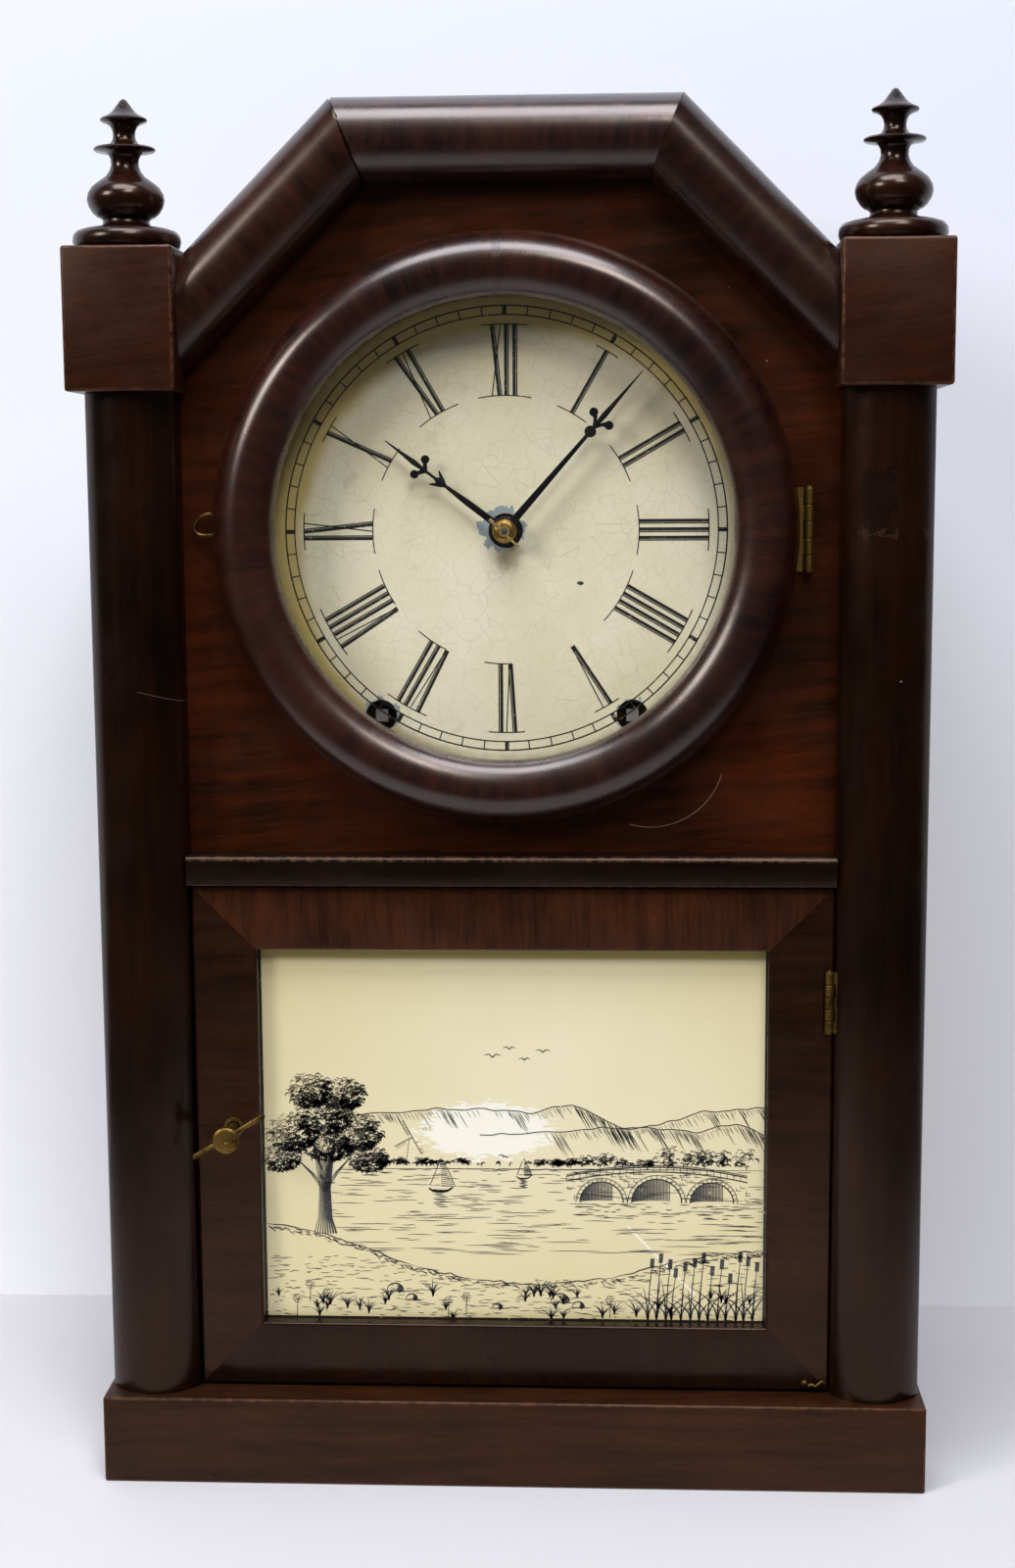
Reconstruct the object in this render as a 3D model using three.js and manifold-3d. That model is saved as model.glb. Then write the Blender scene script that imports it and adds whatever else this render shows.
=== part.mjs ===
// A wooden shelf clock: an octagon-topped case with half columns, corner blocks and finials, a hinged bezel
// over a painted dial, a lower door with a glass tablet, and a time and strike movement with a coiled gong.
// Lengths are millimetres. X runs to the right seen from the front, Y to the back and Z up.
// The origin lies on the floor under the middle of the whole clock, its knob included.
import * as THREE from 'three';
import { mergeVertices } from 'three/addons/utils/BufferGeometryUtils.js';
import Module from 'manifold-3d';

// Clearances
const glueLine = 0.1; // between fixed pieces that are glued, nailed, riveted or puttied together
const runFit = 0.3; // between a moving piece and what it moves in or beside
const cutPast = 1; // how far a cutting tool runs past the surface that it opens

// Case
const caseDepth = 115;
const plinthHeight = 26.3;
const plinthFrontThick = 20;
const plinthSideThick = 14;
const plinthOverhang = 1.5; // beyond the outer sides of the columns
const floorThick = 10;
const columnWidth = 26;
const columnBulge = 7; // the rounded face's crest, in front of its edges
const columnEdge = 8; // the column's straight side, in front of the front board
const columnFacets = 11;
const frontSetback = 18; // the front board's face, behind the plinth's
const frontBoardThick = 7;
const sideThick = 9;
const sideSetIn = 2; // the side board's outer face, inside the column's
const backThick = 5;
const roofThick = 7;
const roofSetIn = 1; // the roof boards, inside the crown moulding's edge
const cleatHeight = 16;
const cleatInset = 6; // the cleats' ends, inside the movement's plates

// Crown: the band of half-round moulding along the octagon's top and shoulders
const crownBand = 23.5;
const crownRise = 14;
const crownFillet = 1.2; // the small square edge under each side of the half round
const crownTopWidth = 100;
const crownMargin = 13.2; // between the bezel and the crown
const crownFacets = 10;

// Corner blocks and finials
const blockHeight = 40.3;
const blockOutside = 3.5; // beyond the column's outer side
const blockInside = 1.9; // beyond the column's inner side
const blockDrop = 5.4; // the block's foot, below the place where the crown meets it
const finialSetback = 16; // the finial's axis, behind the block's face
const finialHeight = 42;
const finialRadius = 15.4;
const finialFacets = 12;

// Shelf rail between the columns, over the lower door
const railHeight = 8.7;
const railDepth = 9.9;
const railChamfer = 1.3;
const railOverBoard = 4.2; // how far the rail covers the front board's lower edge

// Upper door
const bezelRadius = 85;
const bezelWidth = 19;
const bezelRise = 14;
const bezelLip = 7.4; // height of the ring's inner wall over the front board
const bezelCrestAt = 0.5; // the crest's place across the ring
const bezelAboveRail = 9.1;
const dialAside = -1.3; // the dial's axis, against the case's middle
const bezelMargin = 10; // between the ring and each column
const bezelFacets = 40;
const rebateWidth = 4;
const rebateDepth = 5;
const glassThick = 1.6;
const bezelOffBoard = 0.4; // gap behind the closed ring
const pullReach = 4.4;
const pullHeight = 6.2;
const pullWire = 0.55;

// Hinges
const knuckleRadius = 1.35;
const hingePin = 0.5;
const leafThick = 0.7;
const leafReach = 10;
const bezelHingeLength = 24;
const bezelHingeOut = 2.6; // the hinge pin, outside the ring's rim
const bezelHingeProud = 1.8; // the hinge pin, in front of the front board
const doorHingeLength = 18.2;
const doorHingeTop = 24.8; // below the door's top edge
const doorHingeIn = 1.7; // the hinge pin, inside the column's side
const doorHingeProud = 1; // the hinge pin, in front of the door's face
const knuckles = 5;

// Lower door
const doorHeight = 153;
const doorHingeGap = 0.25;
const doorKnobGap = 0.85; // lets the thick door's back edge swing out past the column
const doorFootGap = 0.7;
const doorHeadGap = 0.5;
const doorFrameWidth = 19;
const doorThick = 13;
const doorProud = 7; // the door's face, in front of the front board
const doorLip = 5; // depth of the frame in front of the tablet
const doorRebate = 4;
const doorEase = 0.7; // the small chamfer along the frame's edges
const tabletThick = 1.6;

// Knob and latch
const knobRadius = 3.95;
const knobStand = 15; // the knob's face, in front of the door
const knobLength = 4.2;
const knobFromEdge = 11.25; // the knob's axis, from the door's left edge
const knobHeight = 80; // above the door's foot
const shankRadius = 2.2;
const tommyLength = 24.5; // the thin cross rod
const tommyRadius = 0.95;
const tommyBehindFace = 5;
const tommyTilt = 29; // degrees above level, to the right
const latchLength = 17;
const latchWidth = 8;
const latchThick = 1.2;

// Dial and hands
const dialLap = 3; // the dial's rim, behind the front board
const dialThick = 0.6;
const dialHoleRadius = 5;
const boardHoleLap = 10; // the board's round hole, behind the ring
const keyHoleRadius = 4.65;
const keySpread = 74.4; // between the two winding arbors
const keyDrop = 54.4; // below the hands' axis
const minuteHandLength = 60.3;
const hourHandLength = 43.5;
const minuteHandAngle = 41.3; // degrees past twelve
const hourHandAngle = -53;
const handThick = 0.6;
const hourHandStand = 3.6; // the hand's back, in front of the dial
const minuteHandStand = 6.2;
const centreEndStand = 9.4; // the centre arbor's end, in front of the dial

// Movement plates
const dialToPlate = 22.7;
const plateThick = 1.6;
const plateGap = 34;
const plateSide = 62; // half the plates' width
const plateTop = 62; // above the hands' axis
const plateBottom = 92; // below the hands' axis
const plateCorner = 6;
const windowWidth = 26;
const windowHeight = 34;
const windowCorner = 4;
const windowMargin = 9;
const pillarRadius = 2.6;
const pillarInset = 8;
const pivotRadius = 0.7;
const secondArborRadius = 1.6;
const centreArborRadius = 1.65;
const lightArborRadius = 0.9; // the third arbor and the strike's
const escapeArborRadius = 0.75;
const hammerArborRadius = 1.1;
const hubRadius = 5; // of the heavier wheels
const lightHubRadius = 3;
const pivotFit = 0.25;
const endShake = 0.4; // between an arbor's shoulders and the plates

// Wheels: teeth, modules and the places of their layers behind the front plate
const greatTeeth = 42;
const greatModule = 1.33;
const greatPins = 7;
const secondTeeth = 35;
const centrePins = 7;
const centreTeeth = 60;
const centreModule = 0.8;
const thirdPins = 6;
const thirdTeeth = 54;
const escapePins = 6;
const escapeTeeth = 42;
const escapeRadius = 14;
const escapeToothDepth = 1.9;
const strikeSecondTeeth = 30;
const strikeSecondModule = 1.3;
const strikePins = 6;
const strikeThirdTeeth = 36;
const strikeThirdModule = 0.8;
const cannonPins = 8;
const cannonModule = 1;
const minuteTeeth = 24;
const hourPins = 6;
const hourTeeth = 24;
const greatLayer = 4;
const escapeLayer = 5;
const centreLayer = 14;
const strikeThirdLayer = 18;
const thirdLayer = 22;
const secondLayer = 29.5;
const greatThick = 2;
const wheelThick = 1.3;
const pinShare = 0.5; // a trundle's radius, as a share of the module
const addendum = 1; // tooth height over the pitch circle, in modules
const toothFreedom = 0.15; // between a trundle and the tooth beside it
const shroudThick = 0.9;
const shroudGap = 1; // between a wheel's face and the pinion's shrouds
const spokes = 4;
const trainSlack = 1.01; // the great and second wheels' centres, against the straight way to the hands

// Escapement and pendulum
const escapeAside = 11; // the escape wheel, left of the hands' axis
const escapeAbove = 34; // and above it
const palletReach = 18; // the verge's axis above the escape wheel's
const palletClear = 1.4; // between the pallets and the wheel's tips at rest
const palletSpan = 50; // degrees to each side
const palletThick = 1.2;
const pendulumLength = 225;
const pendulumPlane = 12.9; // in front of the front plate
const rodRadius = 0.8;
const bobRadius = 18;
const bobThick = 9;
const crutchDrop = 34;

// Winding arbors, mainsprings, strike
const keyArborRadius = 2.6;
const keyTailRadius = 1.4; // behind the spring, past the second wheel's rim
const keySquare = 3.6;
const keyEndBehindDial = 1.4;
const ratchetRadius = 8;
const ratchetTeeth = 14;
const springWidth = 17.5;
const springThick = 0.5;
const springRadius = 24;
const springTurns = 6;
const springSteps = 14; // in each turn
const flyReach = 9.5;
const flyThick = 0.6;
const hammerDrop = 69; // the hammer's pivot, below the hands' axis
const hammerArmRadius = 0.9;
const hammerHeadRadius = 5;
const hammerHeadLength = 12;
const hammerGap = 0.8;
const gongAside = 30;
const gongHeight = 92;
const gongRadius = 40;
const gongTurns = 5;
const gongSteps = 22; // in each turn
const gongWire = 1.25;
const gongFromPlate = 6.6; // the coil's plane, in front of the back plate
const gongBoss = 6;
const gongFootSize = 28;
const gongFootThick = 8;

// Places worked out from the sizes above
const knobProud = knobStand + doorProud - frontSetback; // in front of the plinth
const frontY = (knobProud - caseDepth) / 2;
const backY = frontY + caseDepth;
const boardY = frontY + frontSetback;
const boardBackY = boardY + frontBoardThick;
const doorwayHalf = bezelRadius + bezelMargin;
const columnOuter = doorwayHalf + columnWidth;
const plinthHalf = columnOuter + plinthOverhang;
const sideOuter = columnOuter - sideSetIn;
const sideInner = sideOuter - sideThick;
const backBoardY = backY - backThick;
const doorZ = plinthHeight + doorFootGap;
const doorTopZ = doorZ + doorHeight;
const railZ = doorTopZ + doorHeadGap;
const railTopZ = railZ + railHeight;
const dialZ = railTopZ + bezelAboveRail + bezelRadius;
const crownTopZ = dialZ + bezelRadius + crownMargin + crownBand;
const doorFaceY = boardY - doorProud;
const doorBackY = doorFaceY + doorThick;
const doorRight = doorwayHalf - doorHingeGap;
const doorLeft = -doorwayHalf + doorKnobGap;
const dialFaceY = boardBackY + glueLine;
const dialBackY = dialFaceY + dialThick;
const plateFaceY = dialBackY + dialToPlate;
const plateInnerY = plateFaceY + plateThick;
const backPlateY = plateInnerY + plateGap;
const backPlateOuterY = backPlateY + plateThick;
const pendulumY = plateFaceY - pendulumPlane;
const bezelOpening = bezelRadius - bezelWidth;
const boardHoleRadius = bezelOpening + boardHoleLap;
const dialRadius = boardHoleRadius + dialLap;
const centreAxis = [dialAside, dialZ];
const timeKeyAxis = [dialAside + keySpread / 2, dialZ - keyDrop];
const strikeKeyAxis = [dialAside - keySpread / 2, dialZ - keyDrop];
const escapeAxis = [dialAside - escapeAside, dialZ + escapeAbove];
const vergeAxis = [dialAside - escapeAside, dialZ + escapeAbove + palletReach];
const hammerAxis = [dialAside, dialZ - hammerDrop];

const wasm = await Module();
wasm.setup();

// ---- Geometry tools ----

// The closed solid of a geometry, with its faces pointing out.
function toSolid(geometry) {
  const bare = new THREE.BufferGeometry();
  bare.setAttribute('position', geometry.getAttribute('position'));
  bare.setIndex(geometry.index);
  const merged = mergeVertices(bare, 1e-4);
  const triVerts = new Uint32Array(merged.index.array);
  const vertProperties = new Float32Array(merged.attributes.position.array);
  const solid = new wasm.Manifold(new wasm.Mesh({ numProp: 3, vertProperties, triVerts }));
  if (solid.volume() > 0) return solid;
  triVerts.reverse();
  return new wasm.Manifold(new wasm.Mesh({ numProp: 3, vertProperties, triVerts }));
}

function toGeometry(solid) {
  const mesh = solid.getMesh();
  const geometry = new THREE.BufferGeometry();
  geometry.setAttribute('position', new THREE.BufferAttribute(mesh.vertProperties, 3));
  geometry.setIndex(new THREE.BufferAttribute(mesh.triVerts, 1));
  return geometry;
}

function join(...geometries) {
  const solids = geometries.map(toSolid);
  return toGeometry(solids.reduce((whole, next) => whole.add(next)));
}

function cut(geometry, ...tools) {
  const solids = tools.map(toSolid);
  return toGeometry(solids.reduce((whole, tool) => whole.subtract(tool), toSolid(geometry)));
}

function box(x0, x1, y0, y1, z0, z1) {
  const geometry = new THREE.BoxGeometry(x1 - x0, y1 - y0, z1 - z0);
  return geometry.translate((x0 + x1) / 2, (y0 + y1) / 2, (z0 + z1) / 2);
}

// An outline run anticlockwise, so that its holes are turned against it.
function toShape(points) {
  const corners = points.map(([x, y]) => new THREE.Vector2(x, y));
  return new THREE.Shape(THREE.ShapeUtils.isClockWise(corners) ? corners.reverse() : corners);
}

function addHole(shape, points) {
  shape.holes.push(new THREE.Path(points.map(([x, y]) => new THREE.Vector2(x, y))));
}

// A regular polygon's corners, the first of them straight up.
function circle(x, z, radius, sides) {
  const turn = (2 * Math.PI) / sides;
  return Array.from({ length: sides }, (_, i) => [x + radius * Math.sin(i * turn), z + radius * Math.cos(i * turn)]);
}

// A shape drawn as seen from the front, in X and Z, made solid from y0 back to y1.
function slab(shape, y0, y1) {
  const geometry = new THREE.ExtrudeGeometry(shape, { depth: y1 - y0, bevelEnabled: false });
  return geometry.rotateX(Math.PI / 2).translate(0, y1, 0);
}

// A shape drawn as seen from above, in X and Y, made solid from z0 up to z1.
function upright(shape, z0, z1) {
  return new THREE.ExtrudeGeometry(shape, { depth: z1 - z0, bevelEnabled: false }).translate(0, 0, z0);
}

function rod(x, z, radius, y0, y1, sides = 8) {
  return new THREE.CylinderGeometry(radius, radius, y1 - y0, sides).translate(x, (y0 + y1) / 2, z);
}

// A profile of [radius, y] points turned about the Y axis.
function turnY(profile, sides) {
  return new THREE.LatheGeometry(profile.map(([r, y]) => new THREE.Vector2(r, y)), sides);
}

// A profile of [radius, z] points turned about an upright axis.
function turnZ(profile, sides) {
  return turnY(profile, sides).rotateX(Math.PI / 2);
}

// A strip between a start and an end that are each cut across at their own slant. Each end is an
// [outer, inner] pair of [x, z] points, and the section is [share of the way from outer to inner, y] points.
function mitredStrip(start, end, section) {
  const geometry = new THREE.ExtrudeGeometry(toShape(section), { depth: 1, bevelEnabled: false });
  const place = geometry.getAttribute('position');
  const length = Math.hypot(end[0][0] - start[0][0], end[0][1] - start[0][1]);
  const inset = glueLine / 2 / length;
  for (let i = 0; i < place.count; i += 1) {
    const across = place.getX(i);
    const along = THREE.MathUtils.lerp(inset, 1 - inset, place.getZ(i));
    const [x, z] = [0, 1].map((axis) => {
      const from = THREE.MathUtils.lerp(start[0][axis], start[1][axis], across);
      const to = THREE.MathUtils.lerp(end[0][axis], end[1][axis], across);
      return THREE.MathUtils.lerp(from, to, along);
    });
    place.setXYZ(i, x, place.getY(i), z);
  }
  return toGeometry(toSolid(geometry));
}

// One unbroken strip wound in a flat spiral about the Y axis. The section holds [outwards, y] offsets,
// radiusAt gives the centre line's radius at a share of the way, and angles are clockwise from straight up.
function wind(section, radiusAt, turns, firstAngle, steps) {
  const rings = Math.round(turns * steps) + 1;
  const sides = section.length;
  const points = [];
  for (let ring = 0; ring < rings; ring += 1) {
    const share = ring / (rings - 1);
    const angle = firstAngle + share * turns * 2 * Math.PI;
    for (const [out, y] of section) {
      const radius = radiusAt(share) + out;
      points.push(radius * Math.sin(angle), y, radius * Math.cos(angle));
    }
  }
  const faces = [];
  for (let i = 0; i < (rings - 1) * sides; i += 1) {
    const beside = i - (i % sides) + ((i + 1) % sides);
    faces.push(i, beside, beside + sides, i, beside + sides, i + sides);
  }
  const last = (rings - 1) * sides;
  for (let i = 1; i < sides - 1; i += 1) {
    faces.push(0, i + 1, i, last, last + i, last + i + 1);
  }
  const geometry = new THREE.BufferGeometry();
  geometry.setAttribute('position', new THREE.Float32BufferAttribute(points, 3));
  geometry.setIndex(faces);
  return toGeometry(toSolid(geometry));
}

// The least gap between one turn of a winding and the next, over points along its centre line.
function leastGap(radiusAt, turns, steps, thickness) {
  const count = Math.round(turns * steps);
  let least = Infinity;
  for (let i = 0; i + steps <= count; i += 1) {
    const apart = radiusAt((i + steps) / count) - radiusAt(i / count);
    least = Math.min(least, apart - thickness);
  }
  return least;
}

const clock = new THREE.Group();

function add(name, geometry, material, at = [0, 0]) {
  const mesh = new THREE.Mesh(geometry, material);
  mesh.name = name;
  mesh.position.set(at[0], 0, at[1]);
  clock.add(mesh);
}

function surface(color, roughness, metalness) {
  return new THREE.MeshStandardMaterial({ color, roughness, metalness });
}

const mahogany = surface('#4a2015', 0.3, 0);
const mahoganyRed = surface('#6a2f1a', 0.3, 0);
const pine = surface('#a87f52', 0.8, 0);
const brass = surface('#b08d46', 0.35, 1);
const steel = surface('#8b8f92', 0.35, 1);
const bluedSteel = surface('#15161a', 0.3, 0.8);
const castIron = surface('#33312f', 0.6, 0.6);
const dialPaint = surface('#ded5b9', 0.55, 0);
const glass = new THREE.MeshStandardMaterial({
  color: '#dfe8e4', roughness: 0.05, metalness: 0, transparent: true, opacity: 0.3,
});
const tabletPaint = surface('#e1d7af', 0.15, 0);

// ---- Case ----

// The octagon's outline, drawn in by an offset from the crown moulding's outer edge.
function crown(offset) {
  const top = crownTopZ - offset;
  const corner = crownTopWidth / 2 - offset * Math.tan(Math.PI / 8);
  const shoulder = (x) => top - (Math.abs(x) - corner);
  return { top, corner, shoulder };
}

function caseOutline(halfWidth, offset, footZ) {
  const { top, corner, shoulder } = crown(offset);
  const wall = shoulder(halfWidth);
  return [[-halfWidth, footZ], [halfWidth, footZ], [halfWidth, wall], [corner, top], [-corner, top], [-halfWidth, wall]];
}

function mirrored(points) {
  return points.map(([x, z]) => [-x, z]);
}

function plinth() {
  const inner = plinthHalf - plinthSideThick;
  const innerFront = frontY + plinthFrontThick;
  const shape = toShape([
    [-plinthHalf, frontY], [plinthHalf, frontY], [plinthHalf, backY], [inner, backY],
    [inner, innerFront], [-inner, innerFront], [-inner, backY], [-plinthHalf, backY],
  ]);
  return upright(shape, 0, plinthHeight);
}

function baseBoard() {
  const half = plinthHalf - plinthSideThick - glueLine;
  const front = frontY + plinthFrontThick + glueLine;
  return box(-half, half, front, backY, plinthHeight - floorThick, plinthHeight);
}

function sideBoard(side) {
  const outer = crown(roofSetIn);
  const inner = crown(roofSetIn + roofThick);
  const foot = plinthHeight + glueLine;
  const points = [[sideInner, foot], [sideOuter, foot], [sideOuter, outer.shoulder(sideOuter)]];
  points.push([sideInner, inner.shoulder(sideInner)]);
  return slab(toShape(points.map(([x, z]) => [side * x, z - (z > foot ? glueLine : 0)])), boardY, backY);
}

function roofBoards() {
  const outer = crown(roofSetIn);
  const inner = crown(roofSetIn + roofThick);
  const section = [[0, boardY], [1, boardY], [1, backY], [0, backY]];
  const wall = [[sideOuter, outer.shoulder(sideOuter)], [sideInner, inner.shoulder(sideInner)]];
  const corner = [[outer.corner, outer.top], [inner.corner, inner.top]];
  add('roof_board_right', mitredStrip(wall, corner, section), mahogany);
  add('roof_board_left', mitredStrip(mirrored(wall), mirrored(corner), section), mahogany);
  add('roof_board_top', mitredStrip(mirrored(corner), corner, section), mahogany);
}

// The board behind the bezel, with a leg down each side of the doorway.
function frontBoard() {
  const half = sideInner - glueLine;
  const foot = plinthHeight + glueLine;
  const edge = railTopZ - railOverBoard;
  const [, , ...top] = caseOutline(half, roofSetIn + roofThick + glueLine, foot);
  const legs = [[-half, foot], [-doorwayHalf, foot], [-doorwayHalf, edge], [doorwayHalf, edge], [doorwayHalf, foot]];
  const shape = toShape([...legs, [half, foot], ...top]);
  addHole(shape, circle(...centreAxis, boardHoleRadius, bezelFacets));
  const board = slab(shape, boardY, boardBackY);
  const { x, y, z0, z1 } = bezelHinge;
  const leafBed = box(x - leafReach - runFit, x + knuckleRadius + runFit, boardY - cutPast, boardY + leafThick + glueLine,
    z0 - glueLine, z1 + glueLine);
  return cut(board, leafBed);
}

function backBoard() {
  const half = sideInner - glueLine;
  const outline = caseOutline(half, roofSetIn + roofThick + glueLine, plinthHeight + glueLine);
  const cleatHalf = plateSide - cleatInset;
  const cleat = (z) => box(dialAside - cleatHalf, dialAside + cleatHalf, backPlateOuterY + glueLine, backBoardY + cutPast, z, z + cleatHeight);
  const low = cleat(dialZ - plateBottom);
  const high = cleat(dialZ + plateTop - cleatHeight);
  return join(slab(toShape(outline), backBoardY, backY), low, high);
}

// The points of a rounded face between two edges, as [across, forward] with the crest in the middle.
function roundedFace(width, bulge, facets) {
  const radius = (width * width) / 8 / bulge + bulge / 2;
  const half = Math.asin(width / 2 / radius);
  return Array.from({ length: facets + 1 }, (_, i) => {
    const angle = half * ((2 * i) / facets - 1);
    return [width / 2 + radius * Math.sin(angle), radius * Math.cos(angle) - radius + bulge];
  });
}

function column(side) {
  const back = boardY - glueLine;
  const edge = boardY - columnEdge;
  const face = roundedFace(columnWidth, columnBulge, columnFacets);
  const round = face.map(([across, forward]) => [doorwayHalf + across, edge - forward]);
  const outline = [[columnOuter, back], [doorwayHalf, back], ...round].map(([x, y]) => [side * x, y]);
  return upright(toShape(outline), plinthHeight + glueLine, blockZ() - glueLine);
}

// The hinged column has a bed for the door hinge's fixed leaf.
function hingedColumn() {
  const { y, z0, z1 } = doorHinge;
  const bed = box(doorwayHalf - cutPast, doorwayHalf + leafThick + 2 * glueLine, y - knuckleRadius - columnBulge,
    y + leafReach, z0 - glueLine, z1 + glueLine);
  return cut(column(1), bed);
}

function blockZ() {
  return crown(crownBand).shoulder(doorwayHalf - blockInside) - blockDrop;
}

function cornerBlock(side) {
  const foot = blockZ();
  const depth = 2 * finialSetback;
  const x = [side * (doorwayHalf - blockInside), side * (columnOuter + blockOutside)].sort((a, b) => a - b);
  const cube = box(x[0], x[1], frontY, frontY + depth, foot, foot + blockHeight);
  const shoulder = caseOutline(sideOuter + glueLine, roofSetIn - glueLine, foot - cutPast);
  return cut(cube, slab(toShape(shoulder), boardY - glueLine, backY));
}

// The turned finial: a rounded base, a bulb, and two thin discs under a point.
function finial() {
  const base = finialRadius;
  const share = (radius, height) => [base * radius, finialHeight * height];
  return turnZ([
    [0, 0], share(0.9, 0), share(1, 0.05), share(0.98, 0.1), share(0.72, 0.138), share(0.43, 0.16),
    share(0.44, 0.2), share(0.66, 0.27), share(0.68, 0.37), share(0.3, 0.53),
    share(0.26, 0.57), share(0.55, 0.645), share(0.55, 0.675), share(0.21, 0.74), share(0.41, 0.845),
    share(0.41, 0.87), share(0.16, 0.91), [0, finialHeight],
  ], finialFacets);
}

function crownMouldings() {
  const outer = crown(0);
  const inner = crown(crownBand);
  const back = boardY - glueLine;
  const face = roundedFace(crownBand, crownRise - crownFillet, crownFacets);
  const round = face.map(([across, forward]) => [across / crownBand, back - crownFillet - forward]);
  const section = [[1, back], [0, back], ...round];
  const blockSide = doorwayHalf - blockInside - glueLine;
  const foot = [[blockSide, outer.shoulder(blockSide)], [blockSide, inner.shoulder(blockSide)]];
  const corner = [[outer.corner, outer.top], [inner.corner, inner.top]];
  add('crown_moulding_right', mitredStrip(foot, corner, section), mahogany);
  add('crown_moulding_left', mitredStrip(mirrored(foot), mirrored(corner), section), mahogany);
  add('crown_moulding_top', mitredStrip(mirrored(corner), corner, section), mahogany);
}

function shelfRail() {
  const back = boardY - glueLine;
  const front = boardY - railDepth;
  const half = doorwayHalf - glueLine;
  const section = toShape([
    [back, railZ], [back, railTopZ], [front + railChamfer, railTopZ], [front, railTopZ - railChamfer], [front, railZ],
  ]);
  const geometry = new THREE.ExtrudeGeometry(section, { depth: 2 * half, bevelEnabled: false });
  const stand = new THREE.Matrix4().set(0, 0, 1, -half, 1, 0, 0, 0, 0, 1, 0, 0, 0, 0, 0, 1);
  return toGeometry(toSolid(geometry.applyMatrix4(stand)));
}

// ---- Hinges ----

const bezelHinge = {
  x: dialAside + bezelRadius + bezelHingeOut,
  y: boardY - bezelHingeProud,
  z0: dialZ - bezelHingeLength / 2,
  z1: dialZ + bezelHingeLength / 2,
};
const doorHinge = {
  x: doorwayHalf - doorHingeIn,
  y: doorFaceY - doorHingeProud,
  z0: doorTopZ - doorHingeTop - doorHingeLength,
  z1: doorTopZ - doorHingeTop,
};

// Half of a hinge: every second knuckle round the pin, each with the web that ties it to its leaf.
// A fixed half carries the pin.
function hingeHalf(hinge, leaf, web, fixed) {
  const length = (hinge.z1 - hinge.z0) / knuckles;
  const pieces = [leaf];
  for (let i = fixed ? 0 : 1; i < knuckles; i += 2) {
    const low = hinge.z0 + i * length + (i > 0 ? runFit / 2 : 0);
    const high = hinge.z0 + (i + 1) * length - (i < knuckles - 1 ? runFit / 2 : 0);
    const barrel = turnZ([[0, low], [knuckleRadius, low], [knuckleRadius, high], [0, high]], 10);
    const bore = turnZ([[0, low - 1], [hingePin + runFit, low - 1], [hingePin + runFit, high + 1], [0, high + 1]], 8);
    const tied = join(barrel.translate(hinge.x, hinge.y, 0), web(low, high));
    pieces.push(fixed ? tied : cut(tied, bore.translate(hinge.x, hinge.y, 0)));
  }
  if (fixed) {
    const pin = turnZ([[0, hinge.z0], [hingePin, hinge.z0], [hingePin, hinge.z1], [0, hinge.z1]], 8);
    pieces.push(pin.translate(hinge.x, hinge.y, 0));
  }
  return join(...pieces);
}

function bezelHinges() {
  const { x, y, z0, z1 } = bezelHinge;
  const ringBackY = boardY - bezelOffBoard;
  const clear = knuckleRadius + runFit;
  const movingLeaf = box(x - leafReach, x - clear, ringBackY - leafThick, ringBackY, z0, z1);
  const movingWeb = (low, high) => box(x - clear - cutPast, x, ringBackY - leafThick, ringBackY, low, high);
  const fixedLeaf = box(x - leafReach, x + knuckleRadius, boardY, boardY + leafThick, z0, z1);
  const fixedWeb = (low, high) => box(x - hingePin, x + knuckleRadius, y, boardY + leafThick / 2, low, high);
  add('bezel_hinge_leaf', hingeHalf(bezelHinge, movingLeaf, movingWeb, false), brass);
  add('bezel_hinge_plate', hingeHalf(bezelHinge, fixedLeaf, fixedWeb, true), brass);
}

function doorHinges() {
  const { x, y, z0, z1 } = doorHinge;
  const leafBackY = boardY - 2 * glueLine;
  const clearY = y + knuckleRadius + runFit;
  const edge = doorRight;
  const movingLeaf = box(edge - leafThick, edge, clearY, leafBackY, z0, z1);
  const movingWeb = (low, high) => box(x, edge, y, clearY + runFit, low, high);
  const bed = doorwayHalf + glueLine;
  const webY = y - knuckleRadius / 2;
  const fixedLeaf = box(bed, bed + leafThick, webY, leafBackY, z0, z1);
  const fixedWeb = (low, high) => box(x, bed + leafThick, webY, y, low, high);
  add('door_hinge_leaf', hingeHalf(doorHinge, movingLeaf, movingWeb, false), brass);
  add('door_hinge_plate', hingeHalf(doorHinge, fixedLeaf, fixedWeb, true), brass);
}

// ---- Upper door ----

function bezelRing() {
  const back = boardY - bezelOffBoard;
  const width = bezelRadius - bezelOpening;
  const rise = (share, from, to) => from + (to - from) * Math.sin(share * Math.PI / 2);
  const crest = bezelOpening + width * bezelCrestAt;
  const arc = [0, 0.33, 0.67, 1];
  const inside = arc.map((s) => [
    crest - (crest - bezelOpening) * Math.cos(s * Math.PI / 2), back - rise(s, bezelLip, bezelRise)]);
  const outside = arc.slice(0, -1).map((s) => [
    bezelRadius - (bezelRadius - crest) * (1 - Math.cos(s * Math.PI / 2)), back - rise(s, bezelLip / 6, bezelRise)]);
  const rebate = bezelOpening + rebateWidth;
  const profile = [
    [rebate, back], [rebate, back - rebateDepth], [bezelOpening, back - rebateDepth], ...inside,
    ...outside.reverse(), [bezelRadius, back], [rebate, back],
  ];
  const ring = turnY(profile, bezelFacets).translate(dialAside, 0, dialZ);
  const { x, z0, z1 } = bezelHinge;
  const leafBed = box(x - leafReach - glueLine, x, back - leafThick - glueLine, back + cutPast,
    z0 - glueLine, z1 + glueLine);
  return cut(ring, leafBed);
}

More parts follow.
